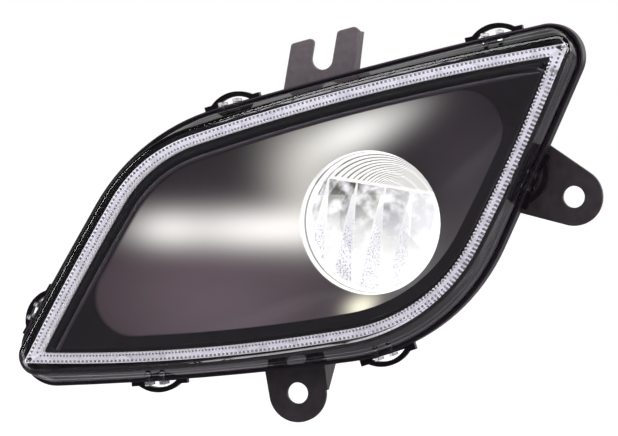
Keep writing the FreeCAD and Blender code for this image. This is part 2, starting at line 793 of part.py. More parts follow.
def make_bezel():
    body = new_body("inner_bezel")
    tip = "face_tip"
    pad(body, leaf_sketch(body, SHELF_FRONT, ("face", "-shelf_margin", tip),
                          ("face", f"{BEZEL_EDGE} + bezel_wall", tip)), "shelf_thickness")
    pad(body, leaf_sketch(body, BEZEL_FRONT, ("face", BEZEL_EDGE, tip),
                          ("face", f"{BEZEL_EDGE} + bezel_wall", tip)), f"{BEZEL_FRONT} - ({SHELF_BACK})")
    pad(body, leaf_sketch(body, BEZEL_FRONT, ("face", BEZEL_EDGE, tip)), "bezel_wall")
    dish = leaf_arcs("face", DISH_EDGE, "dish_tip")
    loft(body, "Additive", [
        leaf_sketch(body, f"{BEZEL_FRONT} - bezel_wall",
                    ("face", f"{DISH_EDGE} - bezel_wall", "dish_tip + bezel_wall")),
        round_sketch(body, "dish_floor - bezel_wall", "optic_radius + bezel_wall", dish)])
    loft(body, "Subtractive", [
        leaf_sketch(body, BEZEL_FRONT, ("face", DISH_EDGE, "dish_tip")),
        round_sketch(body, "dish_floor", "optic_radius", dish)])
    discs(body, "dish_floor + over_cut", "bezel_wall + 2 * over_cut", "optic_radius", cut=True)
    discs(body, SHELF_FRONT, "shelf_thickness", "screw_radius + slip_gap", bezel_boss_places(), cut=True)
    discs(body, SHELF_FRONT, "shelf_thickness", "stub_radius + 2 * slip_gap", stub_places(), cut=True)
    nodes["inner_bezel"] = body


def arc_points(centre, radius, start, end, count):
    return [centre + Vector(math.cos(start + (end - start) * i / count),
                            math.sin(start + (end - start) * i / count), 0) * radius for i in range(count)]


def prism_points(arcs, pitch, depth):
    """A saw-tooth line along the arcs, one tooth for each pitch, cut outwards by depth."""
    points = []
    for centre, radius, start, end in arcs:
        teeth = max(1, round(radius * (end - start) / pitch))
        low = arc_points(centre, radius, start, end, teeth)
        middle = (end - start) / teeth / 2
        high = arc_points(centre, radius + depth, start + middle, end + middle, teeth)
        points += [point for pair in zip(low, high) for point in pair]
    return points


def guide_ring():
    """The whole ribbed ring: a smooth outer edge, and prisms along the inner edge."""
    outer = leaf_arcs("face", "0", "face_tip")
    edges = [Part.ArcOfCircle(Part.Circle(centre, Vector(0, 0, 1), radius), start, end).toShape()
             for centre, radius, start, end in outer]
    inner = prism_points(leaf_arcs("face", "guide_width", "face_tip"), number("prism_pitch"),
                         number("prism_depth"))
    face = Part.Face(Part.Wire(edges)).cut(Part.Face(Part.makePolygon(inner + inner[:1])))
    ring = face.extrude(Vector(0, 0, -number("guide_depth")))
    ring.Placement = Placement(Vector(0, -number("guide_front"), 0), Rotation(Vector(1, 0, 0), 90))
    return ring


def make_light_guides():
    """The ring is parted at its two tips, and each half has a stub that takes light from its LED."""
    circles = leaf_circles("face")
    right_tip, left_tip = [meet(circles[i], circles[(i + 1) % 4], rough_corner("face", i)) for i in (1, 3)]
    across = right_tip - left_tip
    middle = (right_tip + left_tip) / 2
    tilt = math.degrees(math.atan2(across.y, across.x))
    reach = across.Length
    ring = guide_ring()
    pin_places = [tip - (tip - middle).normalize() * number("tip_pin_inset") for tip in (right_tip, left_tip)]
    half_gap = number("tip_gap / 2")
    for half, low in (("upper", half_gap), ("lower", -reach - half_gap)):
        space = Part.makeBox(2 * reach, 2 * reach, reach, Vector(-reach, -reach, low))
        space.rotate(Vector(0, 0, 0), Vector(0, 1, 0), -tilt)
        space.translate(Vector(middle.x, 0, middle.y))
        x, z, turn = face_place(STUB_BEARINGS[half], STUB_INSET)
        stub = Part.makeCylinder(number("stub_radius"), number("strip_thickness + shelf_thickness"),
                                 Vector(x, -number(GUIDE_BACK), z), Vector(0, 1, 0))
        strip = max(ring.common(space).Solids, key=lambda solid: solid.Volume)
        for place in pin_places:
            front = Vector(place.x, -number("guide_front"), place.y)
            strip = strip.cut(Part.makeCylinder(number("tip_pin_radius + slip_gap"), number("guide_depth"),
                                                front, Vector(0, 1, 0)))
        guide = doc.addObject("Part::Feature", f"{half}_light_guide")
        guide.Shape = strip.fuse(stub).removeSplitter()
        nodes[f"{half}_light_guide"] = guide

    strip = new_body("guide_reflector")
    pad(strip, leaf_sketch(strip, GUIDE_BACK, ("face", "shelf_margin", "face_tip"),
                           ("face", "guide_width - shelf_margin", "face_tip")), "strip_thickness")
    discs(strip, GUIDE_BACK, "strip_thickness", "bezel_screw_head + 2 * slip_gap", bezel_boss_places(),
          cut=True)
    discs(strip, GUIDE_BACK, "strip_thickness", "stub_radius + 2 * slip_gap", stub_places(), cut=True)
    nodes["guide_reflector"] = strip

    gather("guide_tip_pins", [rod("tip_pin_radius", "guide_depth", GUIDE_BACK, place.x, place.y)
                              for place in pin_places])

    boards = []
    half_length = "guide_board_length / 2"
    for bearing in STUB_BEARINGS.values():
        board = new_body("guide_board")
        x, z, turn = face_place(bearing, STUB_INSET)
        block(board, SHELF_BACK, "board_thickness",
              (f"-{half_length}", half_length, "-guide_board_low", "guide_board_high"), x, z, turn)
        boards.append(board)
    gather("guide_led_boards", boards)


def gather(name, pieces):
    """One node for several like pieces that stay separate solids."""
    group = doc.addObject("Part::Compound", name)
    group.Links = pieces
    nodes[name] = group


def turned(name, corners):
    """A piece turned about the optical axis, from corners given as (front, radius)."""
    body = new_body(name)
    sketch = section_sketch(body)
    polygon(sketch, [(f"-({front})", radius) for front, radius in corners])
    revolve(body, sketch)
    nodes[name] = body
    return body


def facet_sketch(body, front, radius):
    """A regular polygon with a corner pointing straight down."""
    sketch = new_sketch(body, front)
    angles = [360 / FACETS * i for i in range(FACETS)]
    polygon(sketch, [(f"({radius}) * sin({angle})", f"-({radius}) * cos({angle})") for angle in angles])
    return sketch


def make_optic():
    turned("optic_collar", [
        (COLLAR_FRONT, "optic_radius"), (COLLAR_FRONT, "optic_radius + collar_wall"),
        (OPTIC_FRONT, "optic_radius + collar_wall"), (OPTIC_FRONT, "optic_radius - collar_taper")])
    turned("optic_lens", [
        (OPTIC_FRONT, "0"), (OPTIC_FRONT, OPTIC_FLANGE),
        (REFLECTOR_FRONT, OPTIC_FLANGE), (REFLECTOR_FRONT, "0")])

    body = new_body("fog_reflector")
    waist_front = f"{REFLECTOR_FRONT} - reflector_waist_depth"
    end_front = f"{REFLECTOR_FRONT} - reflector_depth"
    discs(body, REFLECTOR_FRONT, "flange_thickness", OPTIC_FLANGE)
    loft(body, "Additive", [facet_sketch(body, REFLECTOR_FRONT, MOUTH_RADIUS),
                            facet_sketch(body, waist_front, "reflector_waist"),
                            facet_sketch(body, end_front, "reflector_end")])
    loft(body, "Subtractive", [
        facet_sketch(body, REFLECTOR_FRONT, f"{MOUTH_RADIUS} - reflector_wall"),
        facet_sketch(body, waist_front, "reflector_waist - reflector_wall"),
        facet_sketch(body, f"{end_front} + reflector_wall", "reflector_end - reflector_wall")])
    wide = f"2 * {OPTIC_FLANGE}"
    block(body, STEP_FRONT, "reflector_depth", (f"-{wide}", wide, "shade_height", wide), cut=True)
    nodes["fog_reflector"] = body

    # plate above the beam, ringed like a record, that hides the LED board
    plate_radius = number(f"{MOUTH_RADIUS} - reflector_wall - ring_land")
    rings = int(plate_radius // number("ring_pitch"))
    corners = [(f"{STEP_FRONT} - ring_height", "0")]
    for ring in range(1, rings + 1):
        corners.append((STEP_FRONT, f"{ring} * ring_pitch - ring_land"))
        corners.append((f"{STEP_FRONT} - ring_height", f"{ring} * ring_pitch"))
    plate_back = f"{STEP_FRONT} - plate_thickness"
    corners += [(plate_back, f"{rings} * ring_pitch"), (plate_back, "0")]
    plate = turned("ringed_plate", corners)
    block(plate, f"{STEP_FRONT} + over_cut", "plate_thickness + 2 * over_cut",
          (f"-{wide}", wide, f"-{wide}", "shade_height + 2 * slip_gap"), cut=True)

    board = new_body("led_board")
    half = "shelf_width / 2 - shelf_border"
    board_front = f"{STEP_FRONT} - board_setback"
    board_length = f"{board_front} - ({SINK_FRONT}) - board_end_gap"
    block(board, board_front, board_length, (f"-({half})", half, "shade_height + emitter_seat",
                                             "shade_height + emitter_seat + board_thickness"))
    nodes["led_board"] = board

    emitters = []
    for step in (-1, 0, 1):
        chip = new_body("emitter")
        block(chip, f"{waist_front} + emitter_size", "emitter_size",
              (f"{step} * emitter_pitch - emitter_size / 2", f"{step} * emitter_pitch + emitter_size / 2",
               "shade_height - slip_gap", "shade_height + emitter_seat"))
        emitters.append(chip)
    gather("led_emitters", emitters)


def make_heat_sink():
    body = new_body("heat_sink")
    discs(body, SINK_FRONT, "sink_base", f"{BARREL_RADIUS} + sink_border")
    discs(body, SINK_BACK, "fin_length", FIN_RADIUS)
    first = f"-{(FINS - 1) / 2} * fin_pitch"
    edges = (f"{first} - fin_gap / 2", f"{first} + fin_gap / 2", f"-2 * {FIN_RADIUS}", f"2 * {FIN_RADIUS}")
    slot = block(body, SINK_BACK, "fin_length + over_cut", edges, cut=True)
    doc.recompute()
    row = body.newObject("PartDesign::LinearPattern", "fin_row")
    row.Originals = [slot]
    row.Direction = (slot.Profile[0], ["H_Axis"])
    bind(row, "Length", f"{FINS - 1} * fin_pitch")
    row.Occurrences = FINS
    body.Tip = row
    # shelf that reaches into the optic and carries the LED board
    plate_back = f"{STEP_FRONT} - plate_thickness"
    low = "shade_height + emitter_seat + board_thickness"
    half = "shelf_width / 2"
    block(body, plate_back, f"{plate_back} - ({SINK_FRONT})",
          (f"-{half}", half, low, f"{low} + shelf_height"))
    discs(body, SINK_FRONT, "sink_base", "screw_radius + screw_hole_gap", sink_bolt_places(), cut=True)
    nodes["heat_sink"] = body

    gasket = new_body("heat_sink_gasket")
    sketch = new_sketch(gasket, BARREL_BACK)
    circle(sketch, f"{BARREL_RADIUS} - 2 * slip_gap")
    circle(sketch, f"{OPTIC_FLANGE} - barrel_step + foot_gap")
    pad(gasket, sketch, "gasket_thickness")
    nodes["heat_sink_gasket"] = gasket


def pin_edges(step, gap):
    """Edges of a terminal, or of the hole round it, counted in steps from the middle one."""
    centre = f"{step} * terminal_pitch"
    across = f"(terminal_width / 2 + {gap})"
    up = f"(terminal_thickness / 2 + {gap})"
    return f"{centre} - {across}", f"{centre} + {across}", f"-{up}", up


def make_electrics():
    x, z = SOCKET_CENTRE
    across, up = "(socket_width / 2 - 2 * slip_gap)", "(socket_height / 2 - 2 * slip_gap)"
    inner_front = f"{BOWL_BACK} + housing_wall + socket_inset"
    board_back = f"{BOWL_BACK} + housing_wall + post_height"
    socket = new_body("connector_socket")
    block(socket, inner_front, "housing_wall + socket_inset + socket_length",
          (f"-{across}", across, f"-{up}", up), x, z)
    rim_across, rim_up = f"({across} + socket_flange)", f"({up} + socket_flange)"
    block(socket, BOWL_BACK, "housing_wall", (f"-{rim_across}", rim_across, f"-{rim_up}", rim_up), x, z)
    hole_across, hole_up = f"({across} - socket_wall)", f"({up} - socket_wall)"
    block(socket, BOWL_BACK, "2 * socket_length",
          (f"-{hole_across}", hole_across, f"-{hole_up}", hole_up), x, z, cut=True)
    block(socket, f"{BOWL_BACK} - latch_setback", "latch_length",
          ("-latch_width / 2", "latch_width / 2", f"{up} - socket_wall / 2", f"{up} + latch_height"), x, z)
    for step in (-1, 0, 1):
        block(socket, inner_front, "housing_wall + 2 * socket_inset", pin_edges(step, "slip_gap / 2"),
              x, z, cut=True)
    nodes["connector_socket"] = socket

    pins = []
    pin_front = f"{board_back} + board_thickness + terminal_stub"
    for step in (-1, 0, 1):
        pin = new_body("terminal")
        block(pin, pin_front, f"{pin_front} - ({BOWL_BACK}) + terminal_reach", pin_edges(step, "0"), x, z)
        pins.append(pin)
    gather("connector_terminals", pins)

    board = new_body("driver_board")
    board_front = f"{board_back} + board_thickness"
    across, up = "driver_length / 2", "driver_height / 2"
    block(board, board_front, "board_thickness", (f"-{across}", across, f"-{up}", up), x, z)
    for step in (-1, 0, 1):
        block(board, board_front, "board_thickness", pin_edges(step, "slip_gap"), x, z, cut=True)
    nodes["driver_board"] = board

    chips = []
    for left, low, width, height, tall in DRIVER_PARTS:
        chip = new_body("driver_part")
        edges = (f"{left}", f"{left + width}", f"{low}", f"{low + height}")
        block(chip, f"{board_front} + {tall}", f"{tall}", edges, x, z)
        chips.append(chip)
    gather("driver_components", chips)

    vent = new_body("vent_cap")
    discs(vent, BOWL_BACK, "vent_radius", "vent_radius", [VENT_CENTRE])
    discs(vent, f"{BOWL_BACK} + housing_wall", "housing_wall", "vent_radius / 2 - slip_gap", [VENT_CENTRE])
    nodes["vent_cap"] = vent


def ear_outline(sketch, reach, radius, root):
    """A plate that runs from a straight root to a round end about the hole."""
    centre = Vector(0, number(reach), 0)
    size = number(radius)
    corner = Vector(number(root), -number("bracket_lap"), 0)
    away = corner - centre
    angle = math.atan2(away.y, away.x) + math.acos(size / away.Length)
    touch = centre + Vector(math.cos(angle), math.sin(angle), 0) * size
    mirrored = Vector(-touch.x, touch.y, 0)
    other = Vector(-corner.x, corner.y, 0)
    arc = Part.ArcOfCircle(Part.Circle(centre, Vector(0, 0, 1), size), angle, math.pi - angle)
    sketch.addGeometry([Part.LineSegment(corner, touch), arc, Part.LineSegment(mirrored, other),
                        Part.LineSegment(other, corner)])
    constrain(sketch, [
        ("Tangent", (0, 2, 1, 1), None), ("Tangent", (1, 2, 2, 1), None),
        ("Coincident", (2, 2, 3, 1), None), ("Coincident", (3, 2, 0, 1), None),
        ("DistanceX", (-1, 1, 1, 3), "0"), ("DistanceY", (-1, 1, 1, 3), reach), ("Radius", (1,), radius),
        ("DistanceX", (-1, 1, 0, 1), root), ("DistanceY", (-1, 1, 0, 1), "-bracket_lap"),
        ("DistanceX", (-1, 1, 3, 1), f"-{root}"), ("DistanceY", (-1, 1, 3, 1), "-bracket_lap")])


def bracket_holes(body, bearing):
    discs(body, BRACKET_FRONT, "steel_thickness", "screw_radius + screw_hole_gap", screw_pair(bearing),
          cut=True)


def side_flange(body, bearing, left, right, low, high, depth, end_depth, turn_by=0.0):
    """A flange folded backwards along one edge, from its full depth at the root to its end depth."""
    x, z, turn = rim_place(bearing)
    wedge = body.newObject("PartDesign::AdditiveWedge", "flange")
    wedge.AttachmentSupport = [(origin_plane(body, "XZ_Plane"), "")]
    wedge.MapMode = "FlatFace"
    wedge.AttachmentOffset = Placement(Vector(x, z, 0), Rotation(Vector(0, 0, 1), turn + turn_by))
    bind(wedge, "AttachmentOffset.Base.z", BRACKET_FRONT)
    for name, text in (("Xmin", left), ("Xmax", right), ("X2min", left), ("X2max", right), ("Ymin", low),
                       ("Ymax", high), ("Zmin", f"-({depth})"), ("Z2min", f"-({end_depth})")):
        bind(wedge, name, text)
    wedge.Zmax = 0
    wedge.Z2max = 0


def make_ear(name, bearing, prefix):
    body = new_body(name)
    x, z, turn = rim_place(bearing)
    sketch = new_sketch(body, BRACKET_FRONT, x, z, turn)
    ear_outline(sketch, f"{prefix}_reach", f"{prefix}_radius", f"{prefix}_root")
    pad(body, sketch, "steel_thickness")
    hole_x, hole_z, turn = rim_place(bearing, inset=-number(f"{prefix}_reach"))
    discs(body, BRACKET_FRONT, "steel_thickness", "ear_hole_radius", [(hole_x, hole_z)], cut=True)
    bracket_holes(body, bearing)
    nodes[name] = body
    return body


def make_fork():
    body = new_body("top_fork_bracket")
    x, z, turn = rim_place(FORK_BEARING)
    lean_low = "-bracket_lap * tan(fork_lean)"
    lean_high = "fork_height * tan(fork_lean)"
    right = f"{lean_high} + fork_width / 2"
    sketch = new_sketch(body, BRACKET_FRONT, x, z, turn)
    polygon(sketch, [(f"{lean_low} - fork_width / 2", "-bracket_lap"),
                     (f"{lean_low} + fork_width / 2", "-bracket_lap"),
                     (f"{right} - fork_blunt * sin(fork_lean)", "fork_height - fork_blunt * cos(fork_lean)"),
                     (f"{right} - fork_blunt", "fork_height"),
                     (f"{lean_high} - fork_width / 2", "fork_height")])
    pad(body, sketch, "steel_thickness")
    lean = number("fork_lean")
    bottom = number("fork_height - fork_slot_depth + fork_slot_radius")
    slide = bottom * math.tan(math.radians(lean))
    slot_x, slot_z, turn = rim_place(FORK_BEARING, slide, -bottom)
    discs(body, BRACKET_FRONT, "steel_thickness", "fork_slot_radius", [(slot_x, slot_z)], cut=True)
    block(body, BRACKET_FRONT, "steel_thickness",
          ("-fork_slot_radius", "fork_slot_radius", "0", "2 * fork_height"), slot_x, slot_z, turn - lean,
          cut=True)
    bracket_holes(body, FORK_BEARING)
    across = Vector(math.cos(math.radians(turn)), 0, math.sin(math.radians(turn)))
    out = Vector(-across.z, 0, across.x)
    along = Rotation(Vector(0, 1, 0), lean).multVec(out)

    def prong_corner(edge):
        upright = abs(edge.BoundBox.YLength - edge.Length) < TOUCH
        height = (edge.CenterOfMass - Vector(x, 0, z)).dot(out)
        return upright and abs(height - number("fork_height")) < TOUCH

    def bend(edge):
        start = edge.firstVertex().Point
        rise = edge.lastVertex().Point - start
        level = lies_at(edge, number(BRACKET_FRONT)) and rise.Length > number("fork_height")
        leaning = abs(rise.dot(along)) > rise.Length - TOUCH
        return level and leaning and (start - Vector(x, 0, z)).dot(across) > 0

    round_edges(body, "fork_corner", prong_corner)
    edge = "fork_width / 2 * cos(fork_lean)"
    top = "fork_height / cos(fork_lean) + fork_width / 2 * sin(fork_lean) - fork_blunt"
    side_flange(body, FORK_BEARING, f"{edge} - steel_thickness", edge, "fork_flange_start", top,
                "fork_flange_depth", "fork_flange_end", -lean)
    round_edges(body, "bend_radius", bend)
    nodes["top_fork_bracket"] = body


def make_brackets():
    lower = make_ear("lower_ear_bracket", LOWER_EAR_BEARING, "lower_ear")
    side_flange(lower, LOWER_EAR_BEARING, "-lower_ear_root", "steel_thickness - lower_ear_root",
                "-lower_flange_start", "lower_ear_reach", "lower_flange_depth", "steel_thickness")
    make_ear("right_ear_bracket", RIGHT_EAR_BEARING, "right_ear")
    make_fork()


def rod(radius, length, back, x, z):
    """A round bar along Y, from a back plane forwards."""
    item = doc.addObject("Part::Cylinder", "rod")
    item.Placement = Placement(Vector(x, 0, z), Rotation(Vector(1, 0, 0), 90))
    bind(item, "Radius", radius)
    bind(item, "Height", length)
    bind(item, "Placement.Base.y", f"-({back})")
    return item


def screws(name, places, head_back, shank_back, shank_length,
           head=("screw_head_radius", "screw_head_height")):
    """Like screws at several places: a head (radius, height) and a shank."""
    made = []
    for x, z in places:
        screw = doc.addObject("Part::Fuse", "screw")
        screw.Base = rod(*head, head_back, x, z)
        screw.Tool = rod("screw_radius", shank_length, shank_back, x, z)
        made.append(screw)
    gather(name, made)


def make_screws():
    screws("bracket_screws", bracket_screw_places(), f"{BRACKET_BACK} - screw_head_height", BRACKET_BACK,
           "steel_thickness + boss_height + bracket_screw_bite")
    screws("heat_sink_screws", sink_bolt_places(), f"{SINK_BACK} - screw_head_height", SINK_BACK,
           "sink_base + gasket_thickness + sink_screw_bite")
    screws("bezel_screws", bezel_boss_places(), SHELF_FRONT, f"{SHELF_BACK} - bezel_screw_bite",
           "shelf_thickness + bezel_screw_bite", ("bezel_screw_head", "strip_thickness"))


make_housing()
make_lens()
make_bezel()
make_light_guides()
make_optic()
make_heat_sink()
make_electrics()
make_brackets()
make_screws()

# The frame's origin is the centre of the lower ear's hole, on the front of its plate.
hole_x, hole_z, hole_turn = rim_place(LOWER_EAR_BEARING, inset=-number("lower_ear_reach"))
origin = Vector(hole_x, -number(BRACKET_FRONT), hole_z)
for name, node in nodes.items():
    node.Label = name
    node.Placement = Placement(-origin, Rotation())
doc.recompute()

for item in doc.Objects:
    if "Invalid" in item.State or "Error" in item.State:
        raise RuntimeError(f"{item.Label} did not build: {item.getStatusString()}")
for name, node in nodes.items():
    if node.Shape.isNull() or not node.Shape.isValid():
        raise RuntimeError(f"{name} has no valid shape")

os.makedirs("parts", exist_ok=True)
for name, node in nodes.items():
    node.Shape.exportStep(f"parts/{name}.step")
    print(f"{name}: {len(node.Shape.Solids)} solids, {node.Shape.Volume / 1000:.2f} cm3")
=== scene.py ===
# %% [markdown]
# # A lit front fog lamp
# The lamp is a clear leaf-shaped cover on a black housing. Inside it are a satin black dish, one round
# LED optic and a ribbed light guide that runs round the edge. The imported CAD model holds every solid,
# so this lesson dresses those solids: it gives each one its material, adds the fine moulded detail
# that repeats, and lights the lamp as a studio would, with the lamp itself switched on.

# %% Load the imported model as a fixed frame
import math

import bmesh
import bpy
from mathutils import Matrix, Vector


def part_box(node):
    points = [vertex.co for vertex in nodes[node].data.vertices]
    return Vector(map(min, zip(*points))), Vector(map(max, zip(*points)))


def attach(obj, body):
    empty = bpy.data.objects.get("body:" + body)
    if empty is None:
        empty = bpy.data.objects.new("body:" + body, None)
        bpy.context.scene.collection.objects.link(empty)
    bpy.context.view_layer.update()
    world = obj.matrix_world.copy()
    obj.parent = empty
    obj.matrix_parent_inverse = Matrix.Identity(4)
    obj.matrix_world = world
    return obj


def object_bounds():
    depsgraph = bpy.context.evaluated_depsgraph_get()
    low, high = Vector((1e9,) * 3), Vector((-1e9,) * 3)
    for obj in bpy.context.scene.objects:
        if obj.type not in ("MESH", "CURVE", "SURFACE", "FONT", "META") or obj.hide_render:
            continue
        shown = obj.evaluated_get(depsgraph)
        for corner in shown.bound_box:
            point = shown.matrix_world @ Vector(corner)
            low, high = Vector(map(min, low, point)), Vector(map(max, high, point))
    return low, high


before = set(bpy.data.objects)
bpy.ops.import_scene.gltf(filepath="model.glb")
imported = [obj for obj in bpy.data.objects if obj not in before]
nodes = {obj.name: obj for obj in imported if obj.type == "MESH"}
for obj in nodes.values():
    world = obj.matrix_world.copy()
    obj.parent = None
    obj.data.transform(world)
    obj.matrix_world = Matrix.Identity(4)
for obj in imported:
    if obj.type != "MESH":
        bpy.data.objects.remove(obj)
cad_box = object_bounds()
MM = 0.001
print("pieces from the CAD model:", len(nodes))

# %% [markdown]
# A few places are read from the frame, so that they follow the CAD model if it changes. The optic's
# collar is turned about the optical axis, and the centre of its box is therefore a point on that axis.
# The front of a piece is where its box starts in y, because the lamp looks towards minus y.

# %% Find the optical axis and the main levels
collar_low, collar_high = (Vector(corner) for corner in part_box("optic_collar"))
OPTIC_CENTRE = (collar_low + collar_high) / 2
COLLAR_DEPTH = (collar_high.y - collar_low.y) / MM
GUIDE_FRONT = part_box("upper_light_guide")[0][1]
RIM_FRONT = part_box("inner_bezel")[0][1]
print("optical axis at x, z:", round(OPTIC_CENTRE.x, 4), round(OPTIC_CENTRE.z, 4))
print("front of guide and rim:", round(GUIDE_FRONT, 4), round(RIM_FRONT, 4))

# %% [markdown]
# Colours are written as sRGB hex values, the way a paint chart gives them, and one function turns them
# into the linear values that shaders use. Patterns are sized in millimetres: a noise of scale 1000 has
# features about 1 mm wide, because Object coordinates are in metres. One function adds a node: it sets
# the node's properties, and fills its inputs with plain values or with links from other nodes.


# %% Small helpers for colours, patterns and nodes
def colour(hex_code):
    """Linear red, green, blue and alpha for an sRGB hex code."""
    channels = [int(hex_code[i:i + 2], 16) / 255 for i in (1, 3, 5)]
    linear = [c / 12.92 if c <= 0.04045 else ((c + 0.055) / 1.055) ** 2.4 for c in channels]
    return (*linear, 1.0)


def pattern_scale(size_mm):
    """Scale of a noise whose features are about this wide."""
    return 1 / (size_mm * MM)


def add(tree, kind, inputs=None, **settings):
    """Add a node. Each input takes a value, a socket, or a node whose first output it reads."""
    made = tree.nodes.new(kind)
    for name, value in settings.items():
        setattr(made, name, value)
    for key, value in (inputs or {}).items():
        if isinstance(key, int):
            socket = made.inputs[key]
        else:
            socket = next(s for s in made.inputs if s.name == key and s.enabled)
        if isinstance(value, bpy.types.Node):
            value = next(s for s in value.outputs if s.enabled)
        if isinstance(value, bpy.types.NodeSocket):
            tree.links.new(value, socket)
        else:
            socket.default_value = value
    return made


def new_material(name):
    """An empty node material and its tree."""
    material = bpy.data.materials.new(name)
    material.use_nodes = True
    material.node_tree.nodes.clear()
    return material, material.node_tree


def dress(material, *names):
    """Give CAD nodes a material."""
    for name in names:
        mesh = nodes[name].data
        mesh.materials.clear()
        mesh.materials.append(material)
    print(material.name, "on", ", ".join(names))


MATH = "ShaderNodeMath"
VECTOR = "ShaderNodeVectorMath"
MAP = "ShaderNodeMapRange"
MIX = "ShaderNodeMix"
NOISE = "ShaderNodeTexNoise"
WHITE = colour("#ffffff")

# %% [markdown]
# Most solids here are mouldings or pressings: one base colour that varies a little, a roughness that
# varies with it, a fine bump, and edges that are never perfectly sharp. Cycles has a Bevel node that
# rounds the shading at an edge, which gives every moulded edge the thin line of light that a real one
# has. One function makes such a surface, and each material below passes it its own values. A noise
# rarely goes below 0.3 or above 0.7, so that range is stretched to get its full contrast. The grain of a
# real moulding or coat is 0.1 mm or less, too fine for the picture, so it is drawn 0.4 to 0.8 mm wide.

# %% A moulded or coated surface
NOISE_LOW, NOISE_HIGH = 0.3, 0.7
BEVEL_SAMPLES = 8


def surface(name, dark, light, roughness, grain_mm, bump_mm, edge_mm, mottle_mm=12.0,
            metallic=0.0, specular=0.5, tint="#ffffff", glow=None):
    """A solid surface: mottled colour, varied polish, fine grain, softened edges, and a glow if given."""
    material, tree = new_material(name)
    place = add(tree, "ShaderNodeTexCoord").outputs["Object"]
    mottle = add(tree, NOISE, {"Vector": place, "Scale": pattern_scale(mottle_mm), "Detail": 4.0,
                               "Roughness": 0.6})
    grain = add(tree, NOISE, {"Vector": place, "Scale": pattern_scale(grain_mm), "Detail": 2.0})
    spread = add(tree, MAP, {"Value": mottle, "From Min": NOISE_LOW, "From Max": NOISE_HIGH})
    shade = add(tree, MIX, {"Factor": spread, "A": colour(dark), "B": colour(light)}, data_type="RGBA")
    polish = add(tree, MAP, {"Value": mottle, "From Min": NOISE_LOW, "From Max": NOISE_HIGH,
                             "To Min": roughness[0], "To Max": roughness[1]})
    edge = add(tree, "ShaderNodeBevel", {"Radius": edge_mm * MM}, samples=BEVEL_SAMPLES)
    bump = add(tree, "ShaderNodeBump", {"Height": grain, "Distance": bump_mm * MM, "Strength": 1.0,
                                        "Normal": edge})
    shader = add(tree, "ShaderNodeBsdfPrincipled", {
        "Base Color": shade, "Roughness": polish, "Metallic": metallic, "Normal": bump,
        "Specular IOR Level": specular, "Specular Tint": colour(tint),
        "Emission Color": glow(tree) if glow else colour("#000000"),
        "Emission Strength": 1.0 if glow else 0.0})
    add(tree, "ShaderNodeOutputMaterial", {"Surface": shader})
    return material


# %% [markdown]
# The housing is injection-moulded black ABS from a polished tool: nearly black, with a sheen and a faint
# orange-peel ripple of a few millimetres. Its edges stay nearly sharp, because a rounded one looks broken
# behind the clear cover. The socket is glass-filled nylon, greyer and duller because fibres lie at its
# surface. The small seals are rubber, the dullest of all, and the parts on the driver board and the pins
# at the guide's tips are plain black resin.

# %% Black mouldings
dress(surface("Moulded black ABS", "#110e11", "#191519", roughness=(0.3, 0.4), grain_mm=4.0,
              bump_mm=0.002, edge_mm=0.05, specular=0.4, tint="#dccce2"), "housing")
dress(surface("Glass-filled black nylon", "#141314", "#1f1d1e", roughness=(0.50, 0.62), grain_mm=0.8,
              bump_mm=0.02, edge_mm=0.4), "connector_socket")
dress(surface("Black EPDM rubber", "#101010", "#1a1919", roughness=(0.70, 0.85), grain_mm=0.6,
              bump_mm=0.02, edge_mm=0.5), "vent_cap", "heat_sink_gasket", "lens_seal")
dress(surface("Black moulding resin", "#181818", "#242424", roughness=(0.45, 0.6), grain_mm=0.6,
              bump_mm=0.01, edge_mm=0.3), "driver_components", "guide_tip_pins")

# %% [markdown]
# The two ears are pressed steel with a black electro-coat. The coat is thin and slightly brown, a
# satin charcoal under studio light, with cloudy patches where it flowed. The fork at the top is drawn a
# lighter grey with a fine grain: painted light for the strong back light on it. A coat hides the metal, so
# these two are not metallic.
# Screws are zinc plated, a bright cool grey. The heat sink is die-cast aluminium with the dull skin that
# casting leaves, and the socket's terminals are brass under tin, a soft and slightly warm silver.

# %% Metals
dress(surface("Electro-coated steel", "#332e31", "#443e42", roughness=(0.34, 0.48), grain_mm=0.7,
              bump_mm=0.012, edge_mm=0.7, mottle_mm=6.0), "lower_ear_bracket", "right_ear_bracket")
# The fork's lighter grey is painted light, for the strong back light that falls on it.
dress(surface("Steel, painted lighter grey", "#665f63", "#766d72", roughness=(0.4, 0.55), grain_mm=0.6,
              bump_mm=0.05, edge_mm=0.7, mottle_mm=3.0), "top_fork_bracket")
dress(surface("Zinc-plated steel", "#9a9a9c", "#b4b4b6", roughness=(0.25, 0.4), grain_mm=0.5,
              bump_mm=0.005, edge_mm=0.3, mottle_mm=4.0, metallic=1.0), "bracket_screws", "heat_sink_screws")
dress(surface("Die-cast aluminium", "#8c8c8e", "#a6a6a8", roughness=(0.42, 0.58), grain_mm=0.7,
              bump_mm=0.03, edge_mm=0.5, mottle_mm=5.0, metallic=1.0), "heat_sink")
dress(surface("Tin-plated brass", "#b0aca4", "#c4c0b6", roughness=(0.25, 0.35), grain_mm=0.4,
              bump_mm=0.003, edge_mm=0.15, mottle_mm=3.0, metallic=1.0), "connector_terminals")

# %% [markdown]
# Circuit boards are glass-epoxy under a green solder mask. A white polycarbonate strip lies behind the
# light guides and throws their light forwards. The screws through it are white too, so that they don't
# show through the clear guides as dark dots.

# %% Boards and the white strip
dress(surface("Green solder mask", "#123d26", "#1b5234", roughness=(0.3, 0.42), grain_mm=0.8,
              bump_mm=0.01, edge_mm=0.2, mottle_mm=5.0), "driver_board", "led_board", "guide_led_boards")
dress(surface("White polycarbonate", "#dcdce0", "#f0f0f2", roughness=(0.3, 0.4), grain_mm=0.6,
              bump_mm=0.004, edge_mm=0.2, mottle_mm=8.0), "guide_reflector", "bezel_screws")

